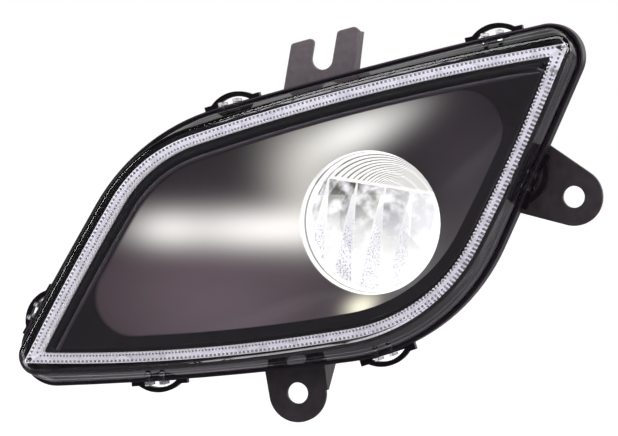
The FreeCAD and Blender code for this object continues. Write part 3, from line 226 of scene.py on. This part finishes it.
# %% [markdown]
# The cover, the light guides and the optic's lens are clear plastic. Glass in Cycles blocks light on its
# way to what is behind it, because it would have to trace caustics. The usual cure is to let shadow rays
# and diffuse rays pass straight through, with a Transparent shader that Light Path switches in. A clear
# moulding is never perfectly even, so its polish varies a little, in patches of a few centimetres.

# %% Clear plastics
POLISH_PATCH_MM = 25.0
ACRYLIC_IOR = 1.49
GUIDE_GLOW = 0.22


def clear_plastic(name, tint, ior, roughness, glow=0.0):
    """Clear moulded plastic that lets the lamps' light through. A light guide also glows."""
    material, tree = new_material(name)
    place = add(tree, "ShaderNodeTexCoord").outputs["Object"]
    patches = add(tree, NOISE, {"Vector": place, "Scale": pattern_scale(POLISH_PATCH_MM), "Detail": 2.0})
    polish = add(tree, MAP, {"Value": patches, "From Min": NOISE_LOW, "From Max": NOISE_HIGH,
                             "To Max": roughness})
    shader = add(tree, "ShaderNodeBsdfPrincipled", {
        "Base Color": colour(tint), "Roughness": polish, "IOR": ior, "Transmission Weight": 1.0,
        "Emission Color": colour("#fffdfb"), "Emission Strength": glow})
    passing = add(tree, "ShaderNodeBsdfTransparent", {"Color": colour(tint)})
    path = add(tree, "ShaderNodeLightPath").outputs
    straight = add(tree, MATH, {0: path["Is Shadow Ray"], 1: path["Is Diffuse Ray"]}, operation="MAXIMUM")
    mixed = add(tree, "ShaderNodeMixShader", {0: straight, 1: shader, 2: passing})
    add(tree, "ShaderNodeOutputMaterial", {"Surface": mixed})
    return material


dress(clear_plastic("Hard-coated clear polycarbonate", "#fbfaff", ior=1.585, roughness=0.02), "outer_lens")
dress(clear_plastic("Clear optical silicone", "#fffffa", ior=1.41, roughness=0.01), "optic_lens")
dress(clear_plastic("Clear acrylic", "#fdfdff", ior=ACRYLIC_IOR, roughness=0.05, glow=GUIDE_GLOW),
      "upper_light_guide", "lower_light_guide")

# %% [markdown]
# ## The lit optic
# The metallised reflector, plate and collar send the LEDs' light forwards, so they are drawn as bright
# metal that also glows. A lit reflector is not evenly bright. It is cut into upright strips that lean a
# little, and each joint between two strips is a step: a narrow wedge that widens downwards, with a bright
# line along both of its sides. The top of each strip, near the LEDs' shelf, is dull and olive grey.
# Object coordinates, counted in millimetres from the optical axis, place all of that.

# %% Sizes of the optic's pattern: lengths in millimetres, and leans as a share of a length
STRIP_PITCH = 13.6
STRIP_FIRST = 6.1
STRIP_LEAN = 0.16
DEPTH_LEAN = 0.25
WEDGE_SPREAD = 0.10
LINE_WIDTH = 0.5
SHELF_HEIGHT = 16.8
SHELF_SLOPE = -0.15
SHELF_EDGE = (0.6, 0.9)
DULL_REACH = (4.0, 31.0)
PALE_REACH = (14.0, 34.0)
SPECKLE_REACH = (12.0, 30.0)
LEFT_TO_RIGHT = (-12.0, 18.0)
RIGHT_SHARE = 0.25
CLOUD_SIZE = 7.0
SPECKLE_SIZE = 0.8
RINGS = 6
RING_REACH = 29.6
RING_SHRINK = 11.4
RING_SHIFT = (8.6, 4.0)
COLLAR_GAP = 6.5
COLLAR_LINE = (0.9, 1.3)
PHOSPHOR_GRAIN = 0.8

# Parts of a noise, or of a ring's width, between which a pattern goes from nothing to full.
CLOUD_RANGE = (0.38, 0.58)
SPECKLE_RANGE = (0.5, 0.62)
RING_LINE = (0.62, 0.80)


# %% Places on the optic
def about_axis(tree):
    """Sockets for the distances right of, behind and above the middle of the optic, in millimetres."""
    place = add(tree, "ShaderNodeTexCoord").outputs["Object"]
    moved = add(tree, VECTOR, {0: place, 1: OPTIC_CENTRE}, operation="SUBTRACT")
    in_mm = add(tree, VECTOR, {0: moved, "Scale": 1 / MM}, operation="SCALE")
    return add(tree, "ShaderNodeSeparateXYZ", {"Vector": in_mm}).outputs


def below_shelf(tree, place):
    """How far a point lies below the slanting front edge of the LEDs' shelf, in millimetres."""
    edge = add(tree, MATH, {0: place["X"], 1: SHELF_SLOPE, 2: SHELF_HEIGHT}, operation="MULTIPLY_ADD")
    return add(tree, MATH, {0: edge, 1: place["Z"]}, operation="SUBTRACT")


# %% Strips and wedges of the reflector
def strip_glow(tree):
    """Upright strips, dull at the top, with a bright-edged wedge at each joint."""
    place = about_axis(tree)
    drop = below_shelf(tree, place)
    across = add(tree, MATH, {0: place["Y"], 1: DEPTH_LEAN, 2: place["X"]}, operation="MULTIPLY_ADD")
    upright = add(tree, MATH, {0: drop, 1: STRIP_LEAN, 2: across}, operation="MULTIPLY_ADD")
    from_first = add(tree, MATH, {0: upright, 1: STRIP_FIRST}, operation="SUBTRACT")
    to_joint = add(tree, MATH, {0: from_first, 1: STRIP_PITCH / 2}, operation="PINGPONG")
    wedge = add(tree, MATH, {0: drop, 1: WEDGE_SPREAD}, operation="MULTIPLY")
    to_side = add(tree, MATH, {0: to_joint, 1: wedge}, operation="SUBTRACT")
    to_line = add(tree, MATH, {0: to_side}, operation="ABSOLUTE")
    line = add(tree, MAP, {"Value": to_line, "From Max": LINE_WIDTH, "To Min": 1.0, "To Max": 0.0})
    in_wedge = add(tree, MATH, {0: to_side, 1: 0.0}, operation="LESS_THAN")

    # The strips: pale, with dull clouds that are strongest at the top and to the left.
    face_on = add(tree, "ShaderNodeCombineXYZ", {"X": across, "Y": place["Z"]})
    cloud = add(tree, NOISE, {"Vector": face_on, "Scale": 1 / CLOUD_SIZE, "Detail": 2.0})
    cloudy = add(tree, MAP, {"Value": cloud, "From Min": CLOUD_RANGE[0], "From Max": CLOUD_RANGE[1]})
    near_top = add(tree, MAP, {"Value": drop, "From Min": DULL_REACH[0], "From Max": DULL_REACH[1],
                               "To Min": 1.0, "To Max": 0.0})
    to_left = add(tree, MAP, {"Value": place["X"], "From Min": LEFT_TO_RIGHT[0],
                              "From Max": LEFT_TO_RIGHT[1], "To Min": 1.0, "To Max": RIGHT_SHARE})
    patches = add(tree, MATH, {0: near_top, 1: cloudy}, operation="MULTIPLY")
    dull = add(tree, MATH, {0: patches, 1: to_left}, operation="MULTIPLY")
    upper = add(tree, MAP, {"Value": drop, "From Min": PALE_REACH[0], "From Max": PALE_REACH[1],
                            "To Min": 1.0, "To Max": 0.0})
    pale = add(tree, MIX, {"Factor": upper, "A": WHITE, "B": colour("#f2f2f8")}, data_type="RGBA")
    strip = add(tree, MIX, {"Factor": dull, "A": pale, "B": colour("#302f20")}, data_type="RGBA")

    # The wedges: nearly white, with lavender specks at the lower left.
    speckle = add(tree, NOISE, {"Vector": face_on, "Scale": 1 / SPECKLE_SIZE, "Detail": 2.0})
    grainy = add(tree, MAP, {"Value": speckle, "From Min": SPECKLE_RANGE[0], "From Max": SPECKLE_RANGE[1]})
    low = add(tree, MAP, {"Value": drop, "From Min": SPECKLE_REACH[0], "From Max": SPECKLE_REACH[1]})
    lower_left = add(tree, MATH, {0: to_left, 1: low}, operation="MULTIPLY")
    speckled = add(tree, MATH, {0: grainy, 1: lower_left}, operation="MULTIPLY")
    step = add(tree, MIX, {"Factor": speckled, "A": colour("#f8f8fc"), "B": colour("#a8a4c4")},
               data_type="RGBA")
    body = add(tree, MIX, {"Factor": in_wedge, "A": strip, "B": step}, data_type="RGBA")
    return add(tree, MIX, {"Factor": line, "A": body, "B": WHITE}, data_type="RGBA")


# %% Rings of the plate, the collar's joint and the LEDs
def ring_glow(tree):
    """Fine rings on the shelf, each smaller and further to the right, and strips below its edge."""
    place = about_axis(tree)
    flat = add(tree, "ShaderNodeCombineXYZ", {"X": place["X"], "Y": place["Z"]})
    reach = add(tree, VECTOR, {0: flat}, operation="LENGTH")
    lean = add(tree, VECTOR, {0: flat, 1: (*RING_SHIFT, 0)}, operation="DOT_PRODUCT")
    shift = add(tree, MATH, {0: lean, 1: reach}, operation="DIVIDE")
    shrink = add(tree, MATH, {0: RING_SHRINK, 1: shift}, operation="SUBTRACT")
    inwards = add(tree, MATH, {0: RING_REACH, 1: reach}, operation="SUBTRACT")
    share = add(tree, MATH, {0: inwards, 1: shrink}, operation="DIVIDE")
    count = add(tree, MATH, {0: share, 1: RINGS}, operation="MULTIPLY")
    step = add(tree, MATH, {0: count}, operation="FRACT")
    line = add(tree, MAP, {"Value": step, "From Min": RING_LINE[0], "From Max": RING_LINE[1]})
    rings = add(tree, MIX, {"Factor": line, "A": WHITE, "B": colour("#46423c")}, data_type="RGBA")
    drop = below_shelf(tree, place)
    under = add(tree, MATH, {0: drop, 1: 0.0}, operation="GREATER_THAN")
    to_edge = add(tree, MATH, {0: drop}, operation="ABSOLUTE")
    bright = add(tree, MAP, {"Value": to_edge, "From Min": SHELF_EDGE[0], "From Max": SHELF_EDGE[1],
                             "To Min": 1.0, "To Max": 0.0})
    body = add(tree, MIX, {"Factor": under, "A": rings, "B": strip_glow(tree)}, data_type="RGBA")
    return add(tree, MIX, {"Factor": bright, "A": body, "B": WHITE}, data_type="RGBA")


def collar_glow(tree):
    """White, with the dark joint between collar and lens."""
    joint = COLLAR_GAP - COLLAR_DEPTH / 2
    depth = add(tree, MATH, {0: about_axis(tree)["Y"], 1: joint}, operation="SUBTRACT")
    to_joint = add(tree, MATH, {0: depth}, operation="ABSOLUTE")
    line = add(tree, MAP, {"Value": to_joint, "From Min": COLLAR_LINE[0], "From Max": COLLAR_LINE[1],
                           "To Min": 1.0, "To Max": 0.0})
    return add(tree, MIX, {"Factor": line, "A": colour("#fffffb"), "B": colour("#3c3842")}, data_type="RGBA")


def lamp_glow(tree):
    """Phosphor over the chips, yellower in some grains than in others."""
    place = add(tree, "ShaderNodeTexCoord").outputs["Object"]
    grain = add(tree, NOISE, {"Vector": place, "Scale": pattern_scale(PHOSPHOR_GRAIN), "Detail": 1.0})
    return add(tree, MIX, {"Factor": grain, "A": colour("#ffe9a0"), "B": colour("#fffdf0")}, data_type="RGBA")


# %% Bright metal of the optic
def glowing_metal(name, glow, strength, roughness=0.15):
    """Metallised plastic that sends on the LEDs' light in a pattern."""
    material, tree = new_material(name)
    shader = add(tree, "ShaderNodeBsdfPrincipled", {
        "Base Color": colour("#8e8e8a"), "Metallic": 1.0, "Roughness": roughness,
        "Emission Color": glow(tree), "Emission Strength": strength})
    add(tree, "ShaderNodeOutputMaterial", {"Surface": shader})
    return material


dress(glowing_metal("Metallised reflector", strip_glow, strength=1.08), "fog_reflector")
dress(glowing_metal("Metallised collar", collar_glow, strength=0.9), "optic_collar")
dress(glowing_metal("Ringed metallised plate", ring_glow, strength=1.12, roughness=0.3), "ringed_plate")
dress(glowing_metal("LED phosphor", lamp_glow, strength=6.0, roughness=0.5), "led_emitters")

# %% [markdown]
# ## The dish in its own light
# The bezel is black PC-ABS from a spark-eroded tool, whose fine grain scatters light and gives the satin
# look. Real spark grain is about 0.05 mm, too fine for the picture, so it is drawn at 0.5 mm. The lamp lights
# this dish: the fog beam is wide and flat, and a part of it runs along the left wall as a level streak. More
# of it spills on the wall beside and above the optic, and a little below it. Tracing that light through the
# optic would take hours, so the dish carries it as soft oval patches that fade like a bell curve. They end
# at the raised rim, and leave out the flat channel round it, because the beam reaches only the sloping wall.

# %% Soft patches of stray light
# Each patch: across and up from the optical axis, half-width and half-height in millimetres, turn in
# degrees, brightness and colour.
STRAY_PATCHES = [
    (-50.8, -3.2, 28.0, 6.8, 0, 1.02, "#fffff6"),  # streak, near the optic
    (-95.0, -3.2, 11.0, 6.3, 0, 0.56, "#fffff6"),  # streak, far end
    (-28.0, 19.0, 12.5, 17.0, 0, 0.60, "#fffcf0"),  # halo beside the optic
    (-5.0, 41.5, 16.0, 6.6, 22, 0.96, "#fffff6"),  # spill above
    (19.0, 52.0, 11.0, 5.0, 22, 0.16, "#fffff6"),  # tail of the spill above
    (-75.0, -33.0, 42.0, 24.0, 0, 0.12, "#ffdbe9"),  # dim light on the lower left
    (-1.5, -38.2, 5.2, 3.8, 0, 1.10, "#fffbdc"),  # small patch below the optic
    (43.0, 30.0, 22.0, 30.0, 0, 0.028, "#ffdff2"),  # dim light on the right
    (-70.0, 22.0, 25.0, 12.0, 0, 0.012, "#ffe4f0"),  # dim light on the upper left
]
# The light fades in between these two depths behind the rim's front, in millimetres, and between these
# two y parts of the normal, where the wall starts to slope. A flat face has a y part of -1.
RIM_FADE = (0.05, 0.35)
FLAT_FADE = (-0.9995, -0.998)


def stray_glow(tree):
    """Soft oval patches of light on the dish, added up, and faded out at the rim and on flat faces."""
    place = about_axis(tree)
    flat = add(tree, "ShaderNodeCombineXYZ", {"X": place["X"], "Y": place["Z"]})
    total = (0.0, 0.0, 0.0)
    for across, up, half_width, half_height, turn, brightness, tint in STRAY_PATCHES:
        oval = add(tree, "ShaderNodeMapping", {
            "Vector": flat, "Location": (across, up, 0.0), "Rotation": (0.0, 0.0, math.radians(turn)),
            "Scale": (half_width, half_height, 1.0)}, vector_type="TEXTURE")
        square = add(tree, VECTOR, {0: oval, 1: oval}, operation="DOT_PRODUCT")
        halved = add(tree, MATH, {0: square, 1: -0.5}, operation="MULTIPLY")
        bell = add(tree, MATH, {0: halved}, operation="EXPONENT")
        patch = [brightness * channel for channel in colour(tint)[:3]]
        total = add(tree, VECTOR, {0: bell, 1: patch, 2: total}, operation="MULTIPLY_ADD")
    rim = (RIM_FRONT - OPTIC_CENTRE.y) / MM
    inside = add(tree, MAP, {"Value": place["Y"], "From Min": rim + RIM_FADE[0],
                             "From Max": rim + RIM_FADE[1]})
    normal = add(tree, "ShaderNodeNewGeometry").outputs["Normal"]
    facing = add(tree, "ShaderNodeSeparateXYZ", {"Vector": normal}).outputs["Y"]
    sloping = add(tree, MAP, {"Value": facing, "From Min": FLAT_FADE[0], "From Max": FLAT_FADE[1]})
    reached = add(tree, MATH, {0: inside, 1: sloping}, operation="MULTIPLY")
    return add(tree, VECTOR, {0: total, "Scale": reached}, operation="SCALE")


dress(surface("Satin black PC-ABS", "#130f12", "#181417", roughness=(0.42, 0.52), grain_mm=0.5,
              bump_mm=0.012, edge_mm=0.8, mottle_mm=30.0, specular=0.3, glow=stray_glow), "inner_bezel")
print("patches of stray light:", len(STRAY_PATCHES))

# %% [markdown]
# ## Prisms along the light guide
# The guide glows because rows of small prisms turn its light out through the front. There are several
# hundred of them along one closed line, so Geometry Nodes set them out: the line is cut into equal
# steps, and a small diamond-shaped pyramid stands at each step, turned to follow the line. The line
# itself is read from the frame, as the outline of the white strip behind the guide. A set of edges has
# no fixed order, so each outline is made to start at its right tip, and every run gives the same rows.

# %% Outlines from the frame
MERGE_GAP = 0.001 * MM
FLAT_DEPTH = 0.01 * MM


def front_outlines(name):
    """Closed outlines of a node's foremost flat face, counter-clockwise from the right tip, longest first."""
    shape = bmesh.new()
    shape.from_mesh(nodes[name].data)
    bmesh.ops.remove_doubles(shape, verts=shape.verts, dist=MERGE_GAP)
    front = min(vert.co.y for vert in shape.verts)
    flat = {face for face in shape.faces if all(vert.co.y < front + FLAT_DEPTH for vert in face.verts)}
    rest = {edge for edge in shape.edges if len(flat.intersection(edge.link_faces)) == 1}
    outlines = []
    while rest:
        edge = rest.pop()
        chain = list(edge.verts)
        while chain[-1] != chain[0]:
            edge = next(e for e in chain[-1].link_edges if e in rest)
            rest.remove(edge)
            chain.append(edge.other_vert(chain[-1]))
        points = [vert.co.copy() for vert in chain[:-1]]
        area = sum(a.x * b.z - b.x * a.z for a, b in zip(points, points[1:] + points[:1]))
        ahead = points if area > 0 else points[::-1]
        tip = max(range(len(ahead)), key=lambda i: (ahead[i].x, ahead[i].z))
        outlines.append(ahead[tip:] + ahead[:tip])
    shape.free()
    return sorted(outlines, key=lambda points: -sum((a - b).length for a, b in zip(points, points[1:])))


def line_mesh(name, points, level, closed=True):
    """A line of edges at one level."""
    mesh = bpy.data.meshes.new(name)
    count = len(points)
    edges = [(i, (i + 1) % count) for i in range(count if closed else count - 1)]
    mesh.from_pydata([(p.x, level, p.z) for p in points], edges, [])
    return mesh


outer_line, inner_line = front_outlines("guide_reflector")[:2]
rim_line = front_outlines("inner_bezel")[0]
print("points on the outlines:", len(outer_line), len(inner_line), len(rim_line))


# %% Node trees that follow a line
def new_tree(name, inputs):
    """An empty Geometry Nodes tree with named inputs, given as (name, kind), and the inputs' sockets."""
    tree = bpy.data.node_groups.new(name, "GeometryNodeTree")
    for socket, kind in [("Geometry", "Geometry"), *inputs]:
        tree.interface.new_socket(socket, in_out="INPUT", socket_type=f"NodeSocket{kind}")
    tree.interface.new_socket("Geometry", in_out="OUTPUT", socket_type="NodeSocketGeometry")
    return tree, add(tree, "NodeGroupInput").outputs


def inset_line(tree, curve, inset):
    """The curve moved inwards, with its tangent and inward direction."""
    tangent = add(tree, "GeometryNodeInputTangent")
    inward = add(tree, VECTOR, {0: tangent, 1: (0, 1, 0)}, operation="CROSS_PRODUCT")
    shift = add(tree, VECTOR, {0: inward, "Scale": inset}, operation="SCALE")
    return add(tree, "GeometryNodeSetPosition", {"Geometry": curve, "Offset": shift}), tangent, inward


def finish_tree(tree, shape, material):
    """End a tree with plain geometry in one material."""
    real = add(tree, "GeometryNodeRealizeInstances", {"Geometry": shape})
    painted = add(tree, "GeometryNodeSetMaterial", {"Geometry": real, "Material": material})
    add(tree, "NodeGroupOutput", {"Geometry": painted})
    return tree


def prism_row_tree():
    """A row of four-sided pyramids along a closed line. The unit pyramid is scaled to its size."""
    tree, given = new_tree("prism row", [
        ("Pitch", "Float"), ("Inset", "Float"), ("Width", "Float"), ("Length", "Float"),
        ("Height", "Float"), ("Slant", "Float"), ("Material", "Material")])
    curve = add(tree, "GeometryNodeMeshToCurve", {"Mesh": given["Geometry"]})
    steps = add(tree, "GeometryNodeResampleCurve", {"Curve": curve, "Length": given["Pitch"]}, mode="LENGTH")
    moved, tangent, inward = inset_line(tree, steps, given["Inset"])
    lean = add(tree, VECTOR, {0: inward, "Scale": given["Slant"]}, operation="SCALE")
    along = add(tree, VECTOR, {0: tangent, 1: lean}, operation="ADD")
    turn = add(tree, "FunctionNodeAxesToRotation", {"Primary Axis": (0, -1, 0), "Secondary Axis": along},
               primary_axis="Z", secondary_axis="X")
    prism = add(tree, "GeometryNodeMeshCone", {
        "Vertices": 4, "Radius Top": 0.0, "Radius Bottom": 0.5, "Depth": 1.0})
    size = add(tree, "ShaderNodeCombineXYZ", {
        "X": given["Width"], "Y": given["Length"], "Z": given["Height"]})
    row = add(tree, "GeometryNodeInstanceOnPoints", {
        "Points": moved, "Instance": prism, "Rotation": turn, "Scale": size})
    return finish_tree(tree, row, given["Material"])


def band_tree():
    """A flat band along an open line, facing forwards."""
    tree, given = new_tree("flat band", [
        ("Inset", "Float"), ("Width", "Float"), ("Thickness", "Float"), ("Material", "Material")])
    curve = add(tree, "GeometryNodeMeshToCurve", {"Mesh": given["Geometry"]})
    moved = inset_line(tree, curve, given["Inset"])[0]
    facing = add(tree, "GeometryNodeSetCurveNormal", {"Curve": moved, "Normal": (0, -1, 0)}, mode="FREE")
    profile = add(tree, "GeometryNodeCurvePrimitiveQuadrilateral", {
        "Width": given["Thickness"], "Height": given["Width"]}, mode="RECTANGLE")
    swept = add(tree, "GeometryNodeCurveToMesh", {
        "Curve": facing, "Profile Curve": profile, "Fill Caps": True})
    return finish_tree(tree, swept, given["Material"])


# %% Run a tree and keep its result
def grow(name, tree, mesh, slot, **values):
    """Run a tree on a mesh, and keep the result as a plain piece on the lamp's body."""
    piece = bpy.data.objects.new(name, mesh)
    bpy.context.scene.collection.objects.link(piece)
    modifier = piece.modifiers.new(name, "NODES")
    modifier.node_group = tree
    for socket in tree.interface.items_tree:
        if socket.in_out == "INPUT" and socket.name in values:
            modifier[socket.identifier] = values[socket.name]
    evaluated = piece.evaluated_get(bpy.context.evaluated_depsgraph_get())
    result = bpy.data.meshes.new_from_object(evaluated)
    piece.modifiers.clear()
    piece.data = result
    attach(piece, "root")
    print(name, "has", len(result.polygons), "faces")


# %% Two rows of prisms on the guide
PRISM_HEIGHT = 0.5 * MM
prism_row = prism_row_tree()
# The prisms' plastic is tinted grey: a painted reflection that stands in for the dark surroundings which the
# clear prisms mirror inside them.
prism_plastic_painted_reflection = clear_plastic("Clear acrylic prisms, tinted grey as painted reflection", "#8e8c92", ior=ACRYLIC_IOR, roughness=0.05)
grow("outer_prisms", prism_row, line_mesh("outer_prisms", outer_line, GUIDE_FRONT), "clear_guide",
     Pitch=2.0 * MM, Inset=0.75 * MM, Width=1.5 * MM, Length=1.6 * MM, Height=PRISM_HEIGHT, Slant=0.6,
     Material=prism_plastic_painted_reflection)
grow("inner_prisms", prism_row, line_mesh("inner_prisms", inner_line, GUIDE_FRONT), "clear_guide",
     Pitch=1.6 * MM, Inset=-0.75 * MM, Width=1.3 * MM, Length=1.3 * MM, Height=PRISM_HEIGHT, Slant=0.0,
     Material=prism_plastic_painted_reflection)

# %% [markdown]
# Beside the upper guide, the wall of the guide's channel keeps light from the rim of the bezel, so that shade
# is painted there: a thin black band lies on the rim. Its inner edge is a narrow satin lip, drawn as a paler
# band: a painted highlight where the edge catches the light. Both are thin bands that follow the upper half
# of the rim's outline, from tip to tip, so one tree sweeps a flat section along that line twice, at two
# distances from it.

# %% Painted shade band and painted highlight lip on the rim
BAND_THICKNESS = 0.2 * MM
BAND_WIDTH = 2.8 * MM
BAND_INSET = 1.5 * MM
LIP_WIDTH = 1.8 * MM
LIP_INSET = 4.0 * MM
TIP_MARGIN = 2
left_tip = min(range(len(rim_line)), key=lambda i: rim_line[i].x)
upper_rim = rim_line[TIP_MARGIN:left_tip - TIP_MARGIN]
flat_band = band_tree()
# Painted shade: a black band laid where the wall of the guide's channel keeps light off the rim.
rim_painted_shade = surface("Black PC-ABS, painted shade", "#080708", "#0e0c0d", roughness=(0.55, 0.65), grain_mm=0.5,
                      bump_mm=0.002, edge_mm=0.15, specular=0.15)
grow("rim_shade_band", flat_band, line_mesh("rim_shade_band", upper_rim, RIM_FRONT, closed=False), "satin_bezel",
     Inset=BAND_INSET, Width=BAND_WIDTH, Thickness=BAND_THICKNESS, Material=rim_painted_shade)
# Painted highlight: a paler band where the rim's inner edge catches the light.
rim_painted_highlight = surface("Satin PC-ABS, painted highlight", "#352e34", "#3c353b", roughness=(0.45, 0.55), grain_mm=0.5,
                     bump_mm=0.004, edge_mm=0.15, mottle_mm=30.0)
grow("rim_lip", flat_band, line_mesh("rim_lip", upper_rim, RIM_FRONT, closed=False), "satin_bezel",
     Inset=LIP_INSET, Width=LIP_WIDTH, Thickness=BAND_THICKNESS, Material=rim_painted_highlight)

# %% [markdown]
# ## Floor, lights and camera
# The lamp hangs over a matte floor, before a white backdrop. A bright floor would show in every glossy
# black edge, so the floor itself is grey. For the camera it adds white of its own, more with distance, until
# it meets the backdrop without a line. Plastic that mirrors or bends the view sees a little of that white,
# and the floor still takes the lamp's shadow.

# %% Floor
FLOOR_DROP = 40 * MM
FLOOR_HALF = 6.0
FLOOR_FRONT = -0.35
FLOOR_NEAR, FLOOR_FAR = 0.3, 1.2
FLOOR_WHITE = 0.9
FLOOR_IN_PLASTIC = 0.1
level = cad_box[0][2] - FLOOR_DROP
edges = [(-FLOOR_HALF, FLOOR_FRONT), (FLOOR_HALF, FLOOR_FRONT),
         (FLOOR_HALF, FLOOR_HALF), (-FLOOR_HALF, FLOOR_HALF)]
floor_mesh = bpy.data.meshes.new("floor")
floor_mesh.from_pydata([(x, y, level) for x, y in edges], [], [(0, 1, 2, 3)])
floor = bpy.data.objects.new("floor", floor_mesh)
bpy.context.scene.collection.objects.link(floor)
material, tree = new_material("Matte white floor")
base = add(tree, "ShaderNodeBsdfDiffuse", {"Color": colour("#8e898f")})
path = add(tree, "ShaderNodeLightPath").outputs
bent = add(tree, MATH, {0: path["Is Glossy Ray"], 1: path["Is Transmission Ray"]}, operation="MAXIMUM")
own = add(tree, MATH, {0: bent, 1: FLOOR_IN_PLASTIC, 2: path["Is Camera Ray"]}, operation="MULTIPLY_ADD")
place = add(tree, "ShaderNodeTexCoord").outputs["Object"]
away = add(tree, "ShaderNodeSeparateXYZ", {"Vector": place}).outputs["Y"]
rising = add(tree, MAP, {"Value": away, "From Min": FLOOR_NEAR, "From Max": FLOOR_FAR,
                         "To Min": FLOOR_WHITE, "To Max": 1.0})
strength = add(tree, MATH, {0: own, 1: rising}, operation="MULTIPLY")
white = add(tree, "ShaderNodeEmission", {"Color": WHITE, "Strength": strength})
both = add(tree, "ShaderNodeAddShader", {0: base, 1: white})
add(tree, "ShaderNodeOutputMaterial", {"Surface": both})
floor_mesh.materials.append(material)
print("floor at z:", round(level, 4))

# %% [markdown]
# Camera rays see a plain white backdrop. Rays that plastic bends or mirrors see white only where they go
# straight back, and less to the sides, because the room in front of a studio table is dark: that is why
# black plastic looks black on a white page. The world's strength therefore follows the y part of the ray's
# direction, once with a broad power and once with a narrow one that reaches white straight back.

# %% Backdrop
FRONT_LEVEL = 0.07
BROAD_LEVEL = 0.4
BROAD_POWER = 3.0
NARROW_POWER = 20.0
world = bpy.data.worlds.new("studio")
bpy.context.scene.world = world
world.use_nodes = True
tree = world.node_tree
tree.nodes.clear()
way = add(tree, "ShaderNodeTexCoord").outputs["Generated"]
depth = add(tree, "ShaderNodeSeparateXYZ", {"Vector": way}).outputs["Y"]
back = add(tree, MATH, {0: depth, 1: 0.0}, operation="MAXIMUM")
spread = add(tree, MATH, {0: back, 1: BROAD_POWER}, operation="POWER")
broad = add(tree, MATH, {0: spread, 1: BROAD_LEVEL, 2: FRONT_LEVEL}, operation="MULTIPLY_ADD")
narrow = add(tree, MATH, {0: back, 1: NARROW_POWER}, operation="POWER")
dimmed = add(tree, MATH, {0: narrow, 1: 1 - FRONT_LEVEL - BROAD_LEVEL, 2: broad}, operation="MULTIPLY_ADD")
seen = add(tree, "ShaderNodeLightPath").outputs["Is Camera Ray"]
strength = add(tree, MATH, {0: seen, 1: dimmed}, operation="MAXIMUM")
backdrop = add(tree, "ShaderNodeBackground", {"Color": WHITE, "Strength": strength})
add(tree, "ShaderNodeOutputWorld", {"Surface": backdrop})
print("backdrop from", FRONT_LEVEL, "at the front to 1 straight back")

# %% [markdown]
# A large softbox hangs over the lamp, and a tall strip light stands on each side of the camera, the right
# one stronger. Two weak softboxes behind the lamp show the shape of its back. Seen through or in the clear
# skirt they would only be glints, so the left one is hidden from mirroring and clear plastic, and the right
# one from clear plastic.


# %% Studio lights
def softbox(name, place, width, height, power):
    """A rectangular studio light, turned towards the lamp. Sizes in metres, power in watts."""
    light = bpy.data.lights.new(name, "AREA")
    light.shape = "RECTANGLE"
    light.size = width
    light.size_y = height
    light.energy = power
    holder = bpy.data.objects.new(name, light)
    holder.location = place
    holder.rotation_euler = (OPTIC_CENTRE - Vector(place)).to_track_quat("-Z", "Y").to_euler()
    bpy.context.scene.collection.objects.link(holder)
    print(name, "of", power, "W")
    return holder


softbox("overhead softbox", (0.0, -0.25, 0.80), width=0.9, height=0.5, power=6.0)
softbox("left strip light", (-0.9, -0.45, 0.25), width=0.25, height=0.9, power=4.0)
softbox("right strip light", (0.9, -0.35, 0.25), width=0.25, height=0.9, power=7.0)
rear_left = softbox("rear left softbox", (-1.2, 0.8, 0.45), width=0.9, height=0.9, power=5.0)
rear_right = softbox("rear right softbox", (1.2, 0.8, 0.45), width=0.9, height=0.9, power=6.0)
rear_left.visible_glossy = False
rear_left.visible_transmission = False
rear_right.visible_transmission = False

# %% [markdown]
# The camera stands a little to the right of the lamp's axis and slightly above it, as in the photograph.
# Its long lens keeps the lamp's lines nearly parallel.

# %% Camera at the photograph's viewing angle
TARGET = Vector((8.24, -11.0, 81.89)) * MM
AZIMUTH = math.radians(14)
ELEVATION = math.radians(2)
DISTANCE = 1.5
camera_data = bpy.data.cameras.new("camera")
camera_data.sensor_width = 36
camera_data.lens = 190
camera = bpy.data.objects.new("camera", camera_data)
level_part = math.cos(ELEVATION)
from_lamp = Vector((math.sin(AZIMUTH) * level_part, -math.cos(AZIMUTH) * level_part, math.sin(ELEVATION)))
camera.location = TARGET + from_lamp * DISTANCE
camera.rotation_euler = (-from_lamp).to_track_quat("-Z", "Y").to_euler()
bpy.context.scene.collection.objects.link(camera)
bpy.context.scene.camera = camera
bpy.context.scene.view_settings.view_transform = "Standard"
print("camera at", [round(part, 3) for part in camera.location])
